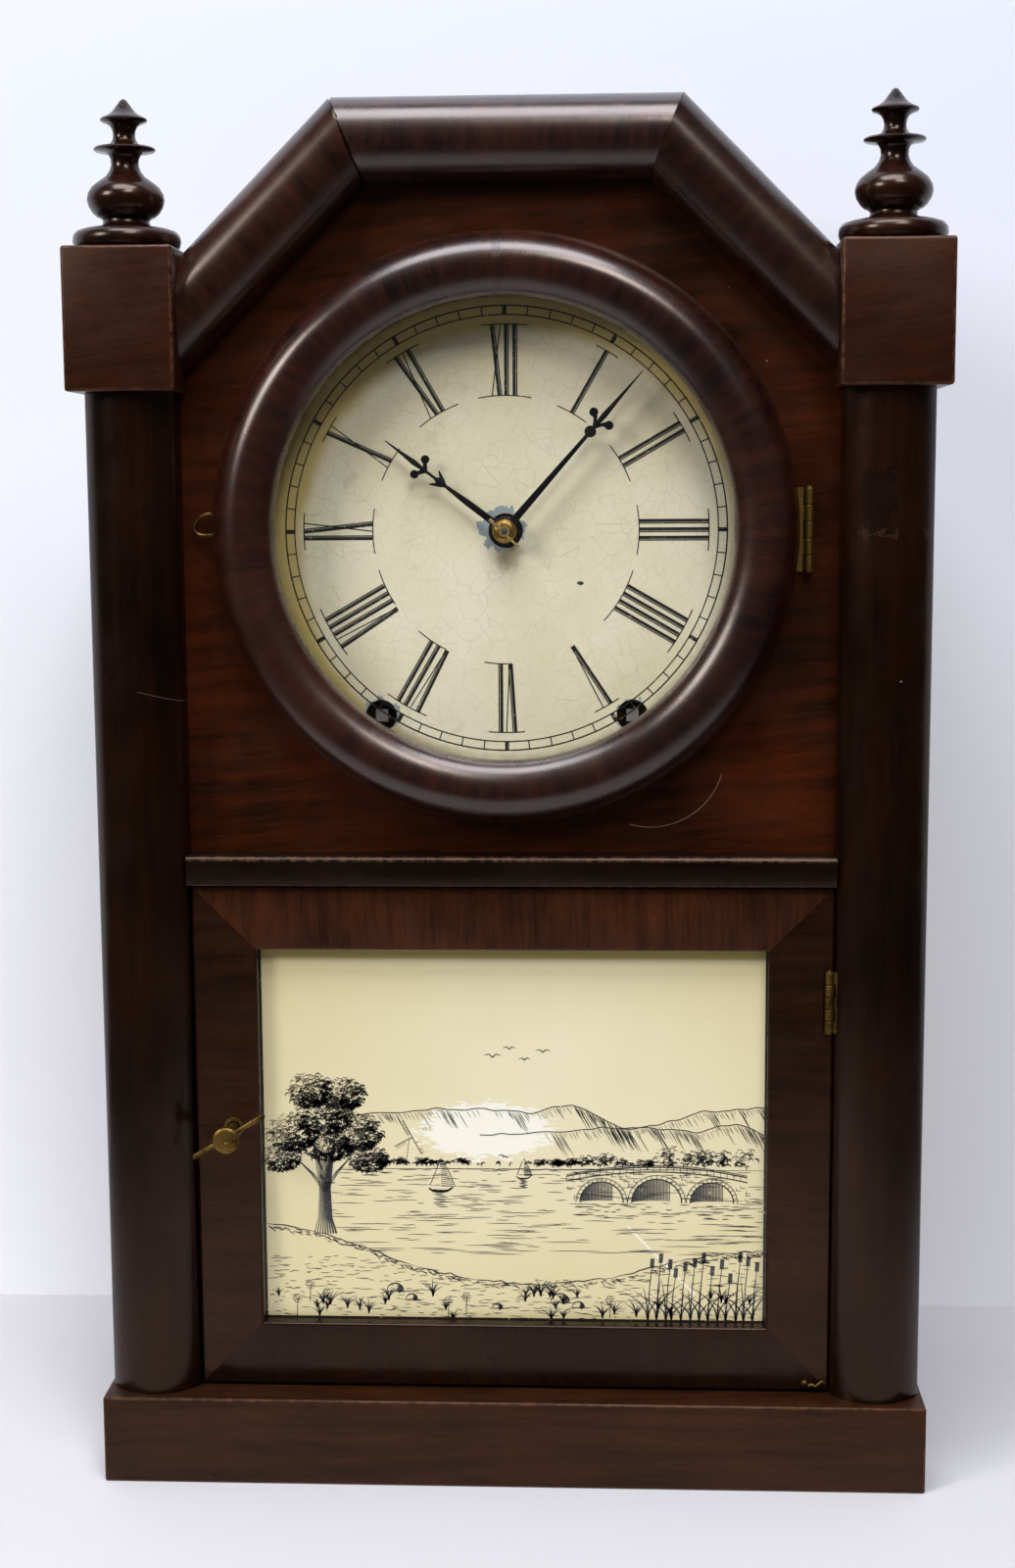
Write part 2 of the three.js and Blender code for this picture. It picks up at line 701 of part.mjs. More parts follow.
function bezelGlass() {
  const front = boardY - bezelOffBoard - rebateDepth + glueLine;
  const radius = bezelOpening + rebateWidth - runFit;
  return turnY([[0, front], [radius, front], [radius, front + glassThick], [0, front + glassThick]], 36);
}

// A bent wire at the ring's left side, to open it by.
function bezelPull() {
  const y = boardY - bezelOffBoard - 2;
  const rim = dialAside - bezelRadius - pullWire - runFit;
  const turns = [0, 0.5, 1].map((s) => {
    const angle = s * Math.PI;
    return new THREE.Vector3(rim - pullReach * Math.sin(angle), y, dialZ + pullHeight / 2 * (0.7 + Math.cos(angle)));
  });
  const path = new THREE.CatmullRomCurve3(turns);
  const section = toShape(circle(0, 0, pullWire, 6));
  return new THREE.ExtrudeGeometry(section, { steps: 10, extrudePath: path, bevelEnabled: false });
}

// ---- Lower door ----

function doorFrame() {
  const rebate = doorFrameWidth - doorRebate;
  const lipBack = doorFaceY + doorLip;
  const section = [
    [0, doorBackY], [0, doorFaceY + doorEase], [doorEase, doorFaceY], [doorFrameWidth - doorEase, doorFaceY],
    [doorFrameWidth, doorFaceY + doorEase], [doorFrameWidth, lipBack], [rebate, lipBack], [rebate, doorBackY],
  ].map(([across, y]) => [across / doorFrameWidth, y]);
  const corner = (x, z, right, up) => [[x, z], [x + right * doorFrameWidth, z + up * doorFrameWidth]];
  const lowLeft = corner(doorLeft, doorZ, 1, 1);
  const lowRight = corner(doorRight, doorZ, -1, 1);
  const highLeft = corner(doorLeft, doorTopZ, 1, -1);
  const highRight = corner(doorRight, doorTopZ, -1, -1);
  const { x, y, z0, z1 } = doorHinge;
  const hingeBed = join(
    box(x - knuckleRadius - runFit, doorRight + cutPast, doorFaceY - cutPast, y + knuckleRadius + 2 * runFit + glueLine,
      z0 - glueLine, z1 + glueLine),
    box(doorRight - leafThick - glueLine, doorRight + cutPast, y, y + leafReach, z0 - glueLine, z1 + glueLine),
  );
  const [knobX, knobZ] = knobAxis();
  const shankHole = rod(knobX, knobZ, shankRadius + 2 * runFit, doorFaceY - cutPast, doorBackY + cutPast, 12);
  add('door_stile_left', cut(mitredStrip(lowLeft, highLeft, section), shankHole), mahogany);
  add('door_stile_right', cut(mitredStrip(lowRight, highRight, section), hingeBed), mahogany);
  add('door_rail_top', mitredStrip(highLeft, highRight, section), mahogany);
  add('door_rail_bottom', mitredStrip(lowLeft, lowRight, section), mahogany);
}

function doorTablet() {
  const inset = doorFrameWidth - doorRebate + runFit;
  const front = doorFaceY + doorLip + glueLine;
  return box(doorLeft + inset, doorRight - inset, front, front + tabletThick, doorZ + inset, doorTopZ - inset);
}

function knobAxis() {
  return [doorLeft + knobFromEdge, doorZ + knobHeight];
}

function latchPlace() {
  return boardBackY + runFit + glueLine;
}

// The turned knob on its shank, drilled for the cross rod.
function doorKnob() {
  const face = doorFaceY - knobStand;
  const neck = face + knobLength;
  const end = latchPlace() + latchThick + runFit;
  const knob = turnY([
    [0, face], [knobRadius * 0.8, face], [knobRadius, face + 0.7], [knobRadius, neck - 1], [shankRadius, neck],
    [shankRadius, end], [0, end],
  ], 12);
  return cut(knob, tommyRod(tommyRadius + 2 * glueLine));
}

function tommyRod(radius) {
  const geometry = new THREE.CylinderGeometry(radius, radius, tommyLength, 8);
  geometry.rotateZ(Math.PI / 2).rotateY(THREE.MathUtils.degToRad(-tommyTilt));
  return geometry.translate(0, doorFaceY - knobStand + tommyBehindFace, 0);
}

// The blade behind the door that turns out behind the front board's left leg.
function doorLatch() {
  const y = latchPlace();
  const half = latchWidth / 2;
  const blade = toShape([
    [-half, -half], [half, -half], [half, latchLength - half], [half / 2, latchLength], [-half, latchLength],
  ]);
  const boss = rod(0, 0, half * 0.85, doorBackY + runFit, y + latchThick / 2, 12);
  const bore = rod(0, 0, shankRadius + 2 * glueLine, doorBackY, y + latchThick + cutPast, 16);
  return cut(join(slab(blade, y, y + latchThick), boss), bore);
}

// ---- Wheels ----

function distance(a, b) {
  return Math.hypot(b[0] - a[0], b[1] - a[1]);
}

// The direction from one axis to another, clockwise from straight up.
function bearing(a, b) {
  return Math.atan2(b[0] - a[0], b[1] - a[1]);
}

function from(a, angle, length) {
  return [a[0] + length * Math.sin(angle), a[1] + length * Math.cos(angle)];
}

function degrees(value) {
  return THREE.MathUtils.degToRad(value);
}

// The point at two given distances from two axes, to the right of the way from a to b.
function meetRight(a, lengthA, b, lengthB) {
  const apart = distance(a, b);
  const along = (lengthA ** 2 - lengthB ** 2 + apart ** 2) / (2 * apart);
  return from(a, bearing(a, b) + Math.acos(along / lengthA), lengthA);
}

function centres(module, teeth, pins) {
  return (module * (teeth + pins)) / 2;
}

function moduleOf(length, teeth, pins) {
  return (2 * length) / (teeth + pins);
}

// A wheel for a lantern pinion. The pinion's trundles run into the spaces as deep as the pitch circle and
// sweep each side of a space along an epicycloid. A tooth's flanks run straight from clear of a trundle at
// its root to a point, inside the sweep of the trundles at its tip.
function wheelShape(teeth, module, pins, spaceAt) {
  const pitch = (module * teeth) / 2;
  const pinCircle = (module * pins) / 2;
  const tip = pitch + addendum * module;
  const reach = pitch + pinCircle;
  const pinionTurn = Math.acos((reach ** 2 + pinCircle ** 2 - tip ** 2) / (2 * reach * pinCircle));
  const pinAt = Math.atan2(pinCircle * Math.sin(pinionTurn), reach - pinCircle * Math.cos(pinionTurn));
  const sweep = (pinionTurn * pins) / teeth - pinAt;
  const side = module * pinShare + toothFreedom;
  const root = pitch - side - toothFreedom;
  const half = Math.PI / teeth;
  if (sweep + side / tip > half) throw new Error(`a wheel of ${teeth} teeth has no room for its tips`);
  const outline = [];
  for (let i = 0; i < teeth; i += 1) {
    const space = spaceAt + 2 * half * i;
    outline.push(from([0, 0], space - side / pitch, root), from([0, 0], space + side / pitch, root));
    outline.push(from([0, 0], space + half, tip));
  }
  return { shape: toShape(outline), root };
}

// Openings between a wheel's spokes.
function crossOut(shape, hub, rim, count, arm) {
  for (let i = 0; i < count; i += 1) {
    const middle = (2 * Math.PI * i) / count;
    const edge = (radius) => Math.PI / count - arm / 2 / radius;
    const outer = [-1, 0, 1].map((s) => from([0, 0], middle + s * edge(rim), rim));
    const inner = [1, -1].map((s) => from([0, 0], middle + s * edge(hub), hub));
    addHole(shape, [...outer, ...inner]);
  }
}

function layerY(layer) {
  return plateInnerY + layer;
}

function wheel({ teeth, module, pins, spaceAt, layer, thick = wheelThick, hub, bore }) {
  const { shape, root } = wheelShape(teeth, module, pins, spaceAt);
  const rim = root - Math.max(1.6, module * 1.8);
  crossOut(shape, hub, rim, spokes, Math.max(2, rim * 0.14));
  if (bore) addHole(shape, circle(0, 0, bore, 16));
  return slab(shape, layerY(layer), layerY(layer) + thick);
}

// A lantern pinion's trundles, for a wheel of the given thickness whose front face is at y.
function trundles(pins, module, pinAt, y0, y1) {
  const radius = module * pinShare;
  return Array.from({ length: pins }, (_, i) => {
    const [x, z] = from([0, 0], pinAt + (2 * Math.PI * i) / pins, (module * pins) / 2);
    return rod(x, z, radius, y0, y1, 4);
  });
}

// An arbor between the plates, turned in one piece with its pivots and its pinion's shrouds.
function arborProfile(radius, shrouds, frontEnd, backEnd) {
  const profile = [[0, frontEnd], [pivotRadius, frontEnd], [pivotRadius, plateInnerY + endShake]];
  profile.push([radius, plateInnerY + endShake]);
  for (const { low, high, rim } of shrouds) {
    profile.push([radius, low], [rim, low], [rim, high], [radius, high]);
  }
  profile.push([radius, backPlateY - endShake], [pivotRadius, backPlateY - endShake]);
  profile.push([pivotRadius, backEnd], [0, backEnd]);
  return profile;
}

function shroudsFor(pinion) {
  if (!pinion) return [];
  const { pins, module, layer, thick = wheelThick } = pinion;
  const rim = (module * pins) / 2 + module * pinShare + 0.35 * module;
  const front = layerY(layer) - shroudGap;
  const back = layerY(layer) + thick + shroudGap;
  return [{ low: front - shroudThick, high: front, rim }, { low: back, high: back + shroudThick, rim }];
}

function pinionTrundles(pinion) {
  const [front, back] = shroudsFor(pinion);
  return trundles(pinion.pins, pinion.module, pinion.pinAt, front.high - shroudThick / 2, back.low + shroudThick / 2);
}

function arbor(radius, gear, pinion) {
  const turned = turnY(arborProfile(radius, shroudsFor(pinion), plateFaceY, backPlateOuterY), 7);
  return join(turned, gear, ...pinionTrundles(pinion));
}

// ---- Time train ----

const greatCentres = centres(greatModule, greatTeeth, greatPins);
const secondCentres = trainSlack * distance(timeKeyAxis, centreAxis) - greatCentres;
const secondModule = moduleOf(secondCentres, secondTeeth, centrePins);
const secondAxis = meetRight(timeKeyAxis, greatCentres, centreAxis, secondCentres);
const thirdAxis = from(centreAxis, degrees(12.5), centres(centreModule, centreTeeth, thirdPins));
const thirdModule = moduleOf(distance(thirdAxis, escapeAxis), thirdTeeth, escapePins);
const minuteCentres = centres(cannonModule, minuteTeeth, cannonPins);
const minuteAxis = from(centreAxis, degrees(110), minuteCentres);
const hourModule = moduleOf(minuteCentres, hourTeeth, hourPins);

function secondArbor() {
  const gear = wheel({
    teeth: secondTeeth, module: secondModule, pins: centrePins, layer: secondLayer, hub: hubRadius,
    spaceAt: bearing(secondAxis, centreAxis),
  });
  const pinAt = bearing(secondAxis, timeKeyAxis);
  return arbor(secondArborRadius, gear, {
    pins: greatPins, module: greatModule, layer: greatLayer, thick: greatThick, pinAt,
  });
}

const cannonFront = plateFaceY - 4.2; // the front shroud's back face
const cannonBack = plateFaceY - 1.2; // the back shroud's front face

// The centre arbor runs through the dial to carry the minute hand, with the cannon pinion behind the dial.
function centreArbor() {
  const radius = centreArborRadius;
  const gear = wheel({
    teeth: centreTeeth, module: centreModule, pins: thirdPins, layer: centreLayer, hub: hubRadius,
    spaceAt: bearing(centreAxis, thirdAxis),
  });
  const pinion = { pins: centrePins, module: secondModule, layer: secondLayer, pinAt: bearing(centreAxis, secondAxis) };
  const rim = (cannonModule * cannonPins) / 2 + cannonModule;
  const [frontShroud, backShroud] = shroudsFor(pinion);
  const collar = [frontShroud, backShroud].flatMap(({ low, high, rim: out }) => [
    [radius, low], [out, low], [out, high], [radius, high]]);
  const profile = [
    [0, dialFaceY - centreEndStand], [radius, dialFaceY - centreEndStand],
    [radius, cannonFront - 0.7], [rim, cannonFront - 0.7], [rim, cannonFront], [radius, cannonFront],
    [radius, cannonBack], [rim, cannonBack], [rim, cannonBack + 0.7], [radius, cannonBack + 0.7], ...collar,
    [radius, backPlateY - endShake], [pivotRadius, backPlateY - endShake],
    [pivotRadius, backPlateOuterY], [0, backPlateOuterY],
  ];
  const pinAt = bearing(centreAxis, minuteAxis);
  const cannon = trundles(cannonPins, cannonModule, pinAt, cannonFront - 0.3, cannonBack + 0.3);
  return join(turnY(profile, 10), gear, ...cannon, ...pinionTrundles(pinion));
}

function thirdArbor() {
  const gear = wheel({
    teeth: thirdTeeth, module: thirdModule, pins: escapePins, layer: thirdLayer, hub: lightHubRadius,
    spaceAt: bearing(thirdAxis, escapeAxis),
  });
  const pinAt = bearing(thirdAxis, centreAxis);
  return arbor(lightArborRadius, gear, { pins: thirdPins, module: centreModule, layer: centreLayer, pinAt });
}

// The escape wheel has raked, pointed teeth.
function escapeArbor() {
  const outline = [];
  for (let i = 0; i < escapeTeeth; i += 1) {
    const tooth = (2 * Math.PI * i) / escapeTeeth;
    const step = (2 * Math.PI) / escapeTeeth;
    outline.push(from([0, 0], tooth, escapeRadius), from([0, 0], tooth + 0.18 * step, escapeRadius));
    outline.push(from([0, 0], tooth + 0.75 * step, escapeRadius - escapeToothDepth));
  }
  const shape = toShape(outline);
  crossOut(shape, lightHubRadius, escapeRadius - 2 * escapeToothDepth, spokes, 1.8);
  const gear = slab(shape, layerY(escapeLayer), layerY(escapeLayer) + wheelThick);
  const pinAt = bearing(escapeAxis, thirdAxis);
  return arbor(escapeArborRadius, gear, { pins: escapePins, module: thirdModule, layer: thirdLayer, pinAt });
}

function greatWheel(keyAxis, mateAxis) {
  const bore = keyArborRadius + runFit;
  const gear = wheel({
    teeth: greatTeeth, module: greatModule, pins: greatPins, layer: greatLayer, thick: greatThick, bore,
    hub: ratchetRadius + 2.5, spaceAt: bearing(keyAxis, mateAxis),
  });
  const back = layerY(greatLayer) + greatThick;
  const click = toShape([
    [ratchetRadius + runFit, -2], [ratchetRadius + 2.2, -2.4], [ratchetRadius + 2.2, 6], [ratchetRadius + 0.9, 6]]);
  return join(gear, slab(click, back - cutPast / 2, back + 1.8));
}

function keyArbor() {
  const front = dialFaceY + keyEndBehindDial;
  const shoulder = plateFaceY - 2;
  const half = keySquare / 2;
  const square = box(-half, half, front, shoulder + cutPast, -half, half);
  const turned = turnY([
    [0, shoulder], [keyArborRadius, shoulder], [keyArborRadius, springBackY()], [keyTailRadius, springBackY()],
    [keyTailRadius, backPlateOuterY], [0, backPlateOuterY],
  ], 12);
  const outline = [];
  for (let i = 0; i < ratchetTeeth; i += 1) {
    const tooth = (2 * Math.PI * i) / ratchetTeeth;
    outline.push(from([0, 0], tooth, ratchetRadius), from([0, 0], tooth + 0.1, ratchetRadius - 2));
  }
  const y = layerY(greatLayer) + greatThick + runFit;
  return join(turned, square, slab(toShape(outline), y, y + 1.4));
}

function springFrontY() {
  return layerY(greatLayer) + greatThick + 3.5;
}

function springBackY() {
  return springFrontY() + springWidth;
}

// A mainspring: a flat strip in an open spiral, whose last stretch flares out to the plates' corner pillar.
function mainspring(side) {
  const inner = keyArborRadius + runFit + springThick / 2;
  const pillar = pillarPlaces()[side > 0 ? 1 : 0];
  const axis = side > 0 ? timeKeyAxis : strikeKeyAxis;
  const flare = distance(axis, pillar) - pillarRadius - runFit - springThick / 2 - springRadius;
  const radiusAt = (share) => {
    const last = Math.max(0, 1 - (1 - share) * springTurns * 3);
    return inner + (springRadius - inner) * share + flare * last * last;
  };
  const half = springThick / 2;
  const section = [[-half, springFrontY()], [half, springFrontY()], [half, springBackY()], [-half, springBackY()]];
  const start = bearing(axis, pillar) - springTurns * 2 * Math.PI;
  const gap = leastGap(radiusAt, springTurns, springSteps, springThick);
  console.log(`mainspring: least gap between turns ${gap.toFixed(2)} mm`);
  return wind(section, radiusAt, springTurns, start, springSteps);
}

// The minute wheel turns on a stud on the front plate and carries the hour wheel's pinion.
function minuteWheel() {
  const y = (cannonFront + cannonBack) / 2 - wheelThick / 2;
  const { shape, root } = wheelShape(minuteTeeth, cannonModule, cannonPins, bearing(minuteAxis, centreAxis));
  addHole(shape, circle(0, 0, studRadius + runFit, 10));
  crossOut(shape, root * 0.5, root - 1.8, 4, 2.4);
  const disc = (low, high) => {
    const rim = toShape(circle(0, 0, (hourModule * hourPins) / 2 + 0.9 * hourModule, 12));
    addHole(rim, circle(0, 0, studRadius + runFit, 10));
    return slab(rim, low, high);
  };
  const pinAt = bearing(minuteAxis, centreAxis);
  const pins = trundles(hourPins, hourModule, pinAt, hourFront - shroudGap - 0.4, y + wheelThick / 2);
  return join(slab(shape, y, y + wheelThick), disc(hourFront - shroudGap - 0.8, hourFront - shroudGap), ...pins);
}

const studRadius = 1.1;
const hourFront = cannonFront - 0.7 - 0.6 - wheelThick; // the hour wheel's front face
const pipeRadius = 3;

// The hour wheel's pipe runs forward through the dial round the centre arbor, to carry the hour hand.
function hourWheel() {
  const { shape, root } = wheelShape(hourTeeth, hourModule, hourPins, bearing(centreAxis, minuteAxis));
  crossOut(shape, pipeRadius + 1.8, root - 1.8, 3, 2.6);
  const pipe = rod(0, 0, pipeRadius, dialFaceY - hourHandStand - handThick - 0.3, hourFront + wheelThick / 2, 16);
  const bore = rod(0, 0, centreArborRadius + 2 * pivotFit, dialFaceY - hourHandStand - handThick - 2, hourFront + wheelThick + 1, 12);
  return cut(join(slab(shape, hourFront, hourFront + wheelThick), pipe), bore);
}

// ---- Hands ----

// A hand drawn pointing up: a collet, a shaft that widens, a round boss with two lobes and a pointed blade.
function hand({ length, boss, bossRadius, lobeAt, lobeOut, lobeRadius, root, tipWidth, collet, bore, stand, angle }) {
  const blade = toShape([
    [-root / 2, 0], [root / 2, 0], [root / 2.6, boss], [tipWidth * 1.4, lobeAt], [tipWidth * 1.7, lobeAt + 4],
    [tipWidth / 2, length - 3], [0, length], [-tipWidth / 2, length - 3], [-tipWidth * 1.7, lobeAt + 4],
    [-tipWidth * 1.4, lobeAt], [-root / 2.6, boss],
  ]);
  const back = dialFaceY - stand;
  const disc = (x, z, radius) => rod(x, z, radius, back - handThick, back, 8);
  const lobe = (side) => {
    const leaf = [[0, boss], [side * (lobeOut + 0.5), lobeAt - 0.6], [side * (lobeOut - 0.7), lobeAt + 0.8], [0, lobeAt]];
    return slab(toShape(leaf), back - handThick, back);
  };
  const round = [disc(0, 0, collet), disc(0, boss, bossRadius)];
  const lobes = [-1, 1].flatMap((side) => [lobe(side), disc(side * lobeOut, lobeAt, lobeRadius)]);
  const whole = join(slab(blade, back - handThick, back), ...round, ...lobes);
  const drilled = cut(whole, rod(0, 0, bore, back - handThick - cutPast, back + cutPast, 16));
  return drilled.rotateY(degrees(angle));
}

function hourHand() {
  return hand({
    length: hourHandLength, boss: 25, bossRadius: 1.6, lobeAt: 30.9, lobeOut: 2.65, lobeRadius: 1.25, root: 3.4,
    tipWidth: 1, collet: 5, bore: pipeRadius + 2 * glueLine, stand: hourHandStand, angle: hourHandAngle,
  });
}

function minuteHand() {
  return hand({
    length: minuteHandLength, boss: 37.7, bossRadius: 1.7, lobeAt: 42.5, lobeOut: 2.9, lobeRadius: 1.3, root: 2.6,
    tipWidth: 0.9, collet: 4, bore: centreArborRadius + 2 * glueLine, stand: minuteHandStand, angle: minuteHandAngle,
  });
}

function dial() {
  const shape = toShape(circle(...centreAxis, dialRadius, bezelFacets));
  addHole(shape, circle(...centreAxis, dialHoleRadius, 12));
  addHole(shape, circle(...timeKeyAxis, keyHoleRadius, 14));
  addHole(shape, circle(...strikeKeyAxis, keyHoleRadius, 14));
  return slab(shape, dialFaceY, dialBackY);
}

// ---- Strike train ----

const strikeSecondAxis = from(strikeKeyAxis, degrees(-13.8), greatCentres);
const strikeSecondCentres = centres(strikeSecondModule, strikeSecondTeeth, strikePins);
const strikeThirdAxis = from(strikeSecondAxis, degrees(20.5), strikeSecondCentres);
const flyAxis = from(strikeThirdAxis, degrees(-6), centres(strikeThirdModule, strikeThirdTeeth, strikePins));

// The strike's second wheel has pins on its front that lift the hammer's tail.
function strikeSecondArbor() {
  const gear = wheel({
    teeth: strikeSecondTeeth, module: strikeSecondModule, pins: strikePins, layer: secondLayer, hub: hubRadius,
    spaceAt: bearing(strikeSecondAxis, strikeThirdAxis),
  });
  const y = layerY(secondLayer);
  const liftPins = Array.from({ length: 8 }, (_, i) => {
    const [x, z] = from([0, 0], (2 * Math.PI * i) / 8, liftRadius);
    return rod(x, z, 0.7, y - 1.6, y + wheelThick / 2, 5);
  });
  const pinAt = bearing(strikeSecondAxis, strikeKeyAxis);
  const pinion = { pins: greatPins, module: greatModule, layer: greatLayer, thick: greatThick, pinAt };
  return arbor(secondArborRadius, join(gear, ...liftPins), pinion);
}

const liftRadius = (strikeSecondModule * strikeSecondTeeth) / 2 - 3.2;

function strikeThirdArbor() {
  const gear = wheel({
    teeth: strikeThirdTeeth, module: strikeThirdModule, pins: strikePins, layer: strikeThirdLayer, hub: lightHubRadius,
    spaceAt: bearing(strikeThirdAxis, flyAxis),
  });
  const pinAt = bearing(strikeThirdAxis, strikeSecondAxis);
  return arbor(lightArborRadius, gear, { pins: strikePins, module: strikeSecondModule, layer: secondLayer, pinAt });
}

// The fly: a bent sheet on its arbor that slows the strike by beating the air.
function fly() {
  const front = layerY(strikeThirdLayer) + wheelThick + 2 * shroudGap + shroudThick;
  const blade = box(-flyReach, flyReach, front, layerY(secondLayer) - 1, -flyThick / 2, flyThick / 2);
  const pinAt = bearing(flyAxis, strikeThirdAxis);
  return arbor(lightArborRadius, blade, { pins: strikePins, module: strikeThirdModule, layer: strikeThirdLayer, pinAt });
}

// ---- Plates ----

function cutCorners(left, right, low, high, corner) {
  return [
    [left + corner, low], [right - corner, low], [right, low + corner], [right, high - corner],
    [right - corner, high], [left + corner, high], [left, high - corner], [left, low + corner],
  ];
}

// A plate's outline, with an opening beside the train and one over the hammer's arbor.
function plateShape() {
  const [left, right] = [dialAside - plateSide, dialAside + plateSide];
  const shape = toShape(cutCorners(left, right, dialZ - plateBottom, dialZ + plateTop, plateCorner));
  const besideTrain = [right - windowMargin - windowWidth, right - windowMargin];
  const overHammer = [dialAside - windowMargin - windowWidth / 2, dialAside - windowMargin + windowWidth / 2];
  const trainFoot = dialZ + windowMargin;
  const hammerFoot = hammerAxis[1] + 2 * windowMargin;
  addHole(shape, cutCorners(...besideTrain, trainFoot, trainFoot + windowHeight, windowCorner));
  addHole(shape, cutCorners(...overHammer, hammerFoot, hammerFoot + windowWidth, windowCorner));
  return shape;
}

function pillarPlaces() {
  const [left, right] = [-1, 1].map((side) => dialAside + side * (plateSide - pillarInset));
  const [low, high] = [dialZ - plateBottom + pillarInset, dialZ + plateTop - pillarInset];
  return [[left, low], [right, low], [left, high], [right, high]];
}

const pivots = [secondAxis, thirdAxis, escapeAxis, strikeSecondAxis, strikeThirdAxis, flyAxis, hammerAxis];

function drill(shape, [x, z], radius) {
  addHole(shape, circle(x, z, radius, 6));
}

function frontPlate() {
  const shape = plateShape();
  pivots.forEach((at) => drill(shape, at, pivotRadius + pivotFit));
  drill(shape, vergeAxis, vergeRadius + 2 * pivotFit);
  addHole(shape, circle(...centreAxis, centreArborRadius + 2 * pivotFit, 12));
  addHole(shape, circle(...timeKeyAxis, keyArborRadius + 2 * pivotFit, 12));
  addHole(shape, circle(...strikeKeyAxis, keyArborRadius + 2 * pivotFit, 12));
  pillarPlaces().forEach((at) => drill(shape, at, pillarRadius * 0.6 + pivotFit));
  const into = plateFaceY + plateThick / 2;
  const minuteStud = rod(...minuteAxis, studRadius, hourFront - shroudGap - 1.6, into);
  const hanger = rod(vergeAxis[0], vergeAxis[1] + hangerRise, hangerRadius, pendulumY - 2.5, into);
  return join(slab(shape, plateFaceY, plateInnerY), minuteStud, hanger);
}

function backPlate() {
  const shape = plateShape();
  pivots.forEach((at) => drill(shape, at, pivotRadius + pivotFit));
  drill(shape, vergeAxis, pivotRadius + pivotFit);
  drill(shape, centreAxis, pivotRadius + pivotFit);
  drill(shape, timeKeyAxis, keyTailRadius + 2 * pivotFit);
  drill(shape, strikeKeyAxis, keyTailRadius + 2 * pivotFit);
  const pillars = pillarPlaces().flatMap(([x, z]) => [
    rod(x, z, pillarRadius, plateInnerY + glueLine, backPlateY + plateThick / 2),
    rod(x, z, pillarRadius * 0.6, plateFaceY - 1.5, backPlateY),
  ]);
  return join(slab(shape, backPlateY, backPlateOuterY), ...pillars);
}

// ---- Escapement and pendulum ----

const vergeRadius = 0.9;
const hangerRise = 5;
const hangerRadius = 1.5;

// The verge: a bent strip over the escape wheel on its arbor, with the crutch wire that hands the beat
// to the pendulum in front of the plate. Its axis is the origin.
function verge() {
  const middle = [0, -palletReach];
  const inner = escapeRadius + palletClear;
  const outer = inner + palletThick;
  const angles = [-1, -0.6, -0.2, 0.2, 0.6, 1].map((s) => s * degrees(palletSpan));
  const arc = (radius, list) => list.map((angle) => from(middle, angle, radius));
  const strap = toShape([...arc(outer, angles), ...arc(inner, [...angles].reverse())]);
  const y = layerY(escapeLayer) - 1;
  const hub = rod(0, 0, outer + vergeRadius + 1.4 - palletReach + palletThick, y, y + 3.2, 10);
  const turned = turnY([
    [0, plateFaceY - 3.4], [vergeRadius, plateFaceY - 3.4], [vergeRadius, backPlateY - endShake],
    [pivotRadius, backPlateY - endShake], [pivotRadius, backPlateOuterY], [0, backPlateOuterY],
  ], 8);
  const crutchY = plateFaceY - 2.4;
  const slot = rodRadius + 0.4;
  const wire = box(-0.9, 0.9, crutchY, crutchY + 1, -crutchDrop, 1);
  const cross = box(-slot - 1.1, slot + 1.1, crutchY, crutchY + 1, -crutchDrop - 1, -crutchDrop + 1);
  const prong = (side) => {
    const x = [side * slot, side * (slot + 1.1)].sort((a, b) => a - b);
    return box(x[0], x[1], pendulumY - 2, crutchY + 0.5, -crutchDrop - 1, -crutchDrop + 1);
  };
  return join(slab(strap, y, y + 3.2), hub, turned, wire, cross, prong(-1), prong(1));
}

// The pendulum rod hangs by a flat spring under the plate's hanger and ends in the bob's rating nut.
function pendulumRod() {
  const top = hangerRise - hangerRadius - runFit;
  const spring = box(-1.6, 1.6, pendulumY - 0.2, pendulumY + 0.2, -16, top);
  const nutTop = -pendulumLength - bobRadius - runFit;
  const wire = turnZ([[0, nutTop - 8], [rodRadius, nutTop - 8], [rodRadius, -15], [0, -15]], 8);
  const nut = turnZ([[0, nutTop - 3], [3, nutTop - 3], [3, nutTop], [0, nutTop]], 12);
  return join(spring, wire.translate(0, pendulumY, 0), nut.translate(0, pendulumY, 0));
}

function pendulumBob() {
  const half = bobThick / 2;
  const lens = turnY([
    [0, -half], [bobRadius * 0.5, -half * 0.86], [bobRadius * 0.85, -half * 0.5], [bobRadius, -0.7],
    [bobRadius, 0.7], [bobRadius * 0.85, half * 0.5], [bobRadius * 0.5, half * 0.86], [0, half],
  ], 18);
  const slot = rodRadius + runFit;
  const drilled = cut(lens, box(-slot, slot, -slot, slot, -bobRadius - cutPast, bobRadius + cutPast));
  return drilled.translate(0, pendulumY, -pendulumLength);
}

// ---- Hammer and gong ----

function gongRadiusAt(share) {
  const inner = gongBoss + runFit + gongWire;
  return inner + (gongRadius - inner) * share;
}

function gongY() {
  return backPlateY - gongFromPlate;
}

function gongCoil() {
  const section = circle(0, 0, gongWire, 6).map(([out, y]) => [out, gongY() + y]);
  const gap = leastGap(gongRadiusAt, gongTurns, gongSteps, 2 * gongWire);
  console.log(`gong: least gap between turns ${gap.toFixed(2)} mm`);
  return wind(section, gongRadiusAt, gongTurns, degrees(-60), gongSteps);
}

function gongBase() {
  const half = gongFootSize / 2;
  const foot = box(-half, half, backBoardY - gongFootThick, backBoardY - glueLine, -half, half);
  return join(foot, rod(0, 0, gongBoss, gongY() - 2 * gongWire, backBoardY - gongFootThick / 2, 14));
}

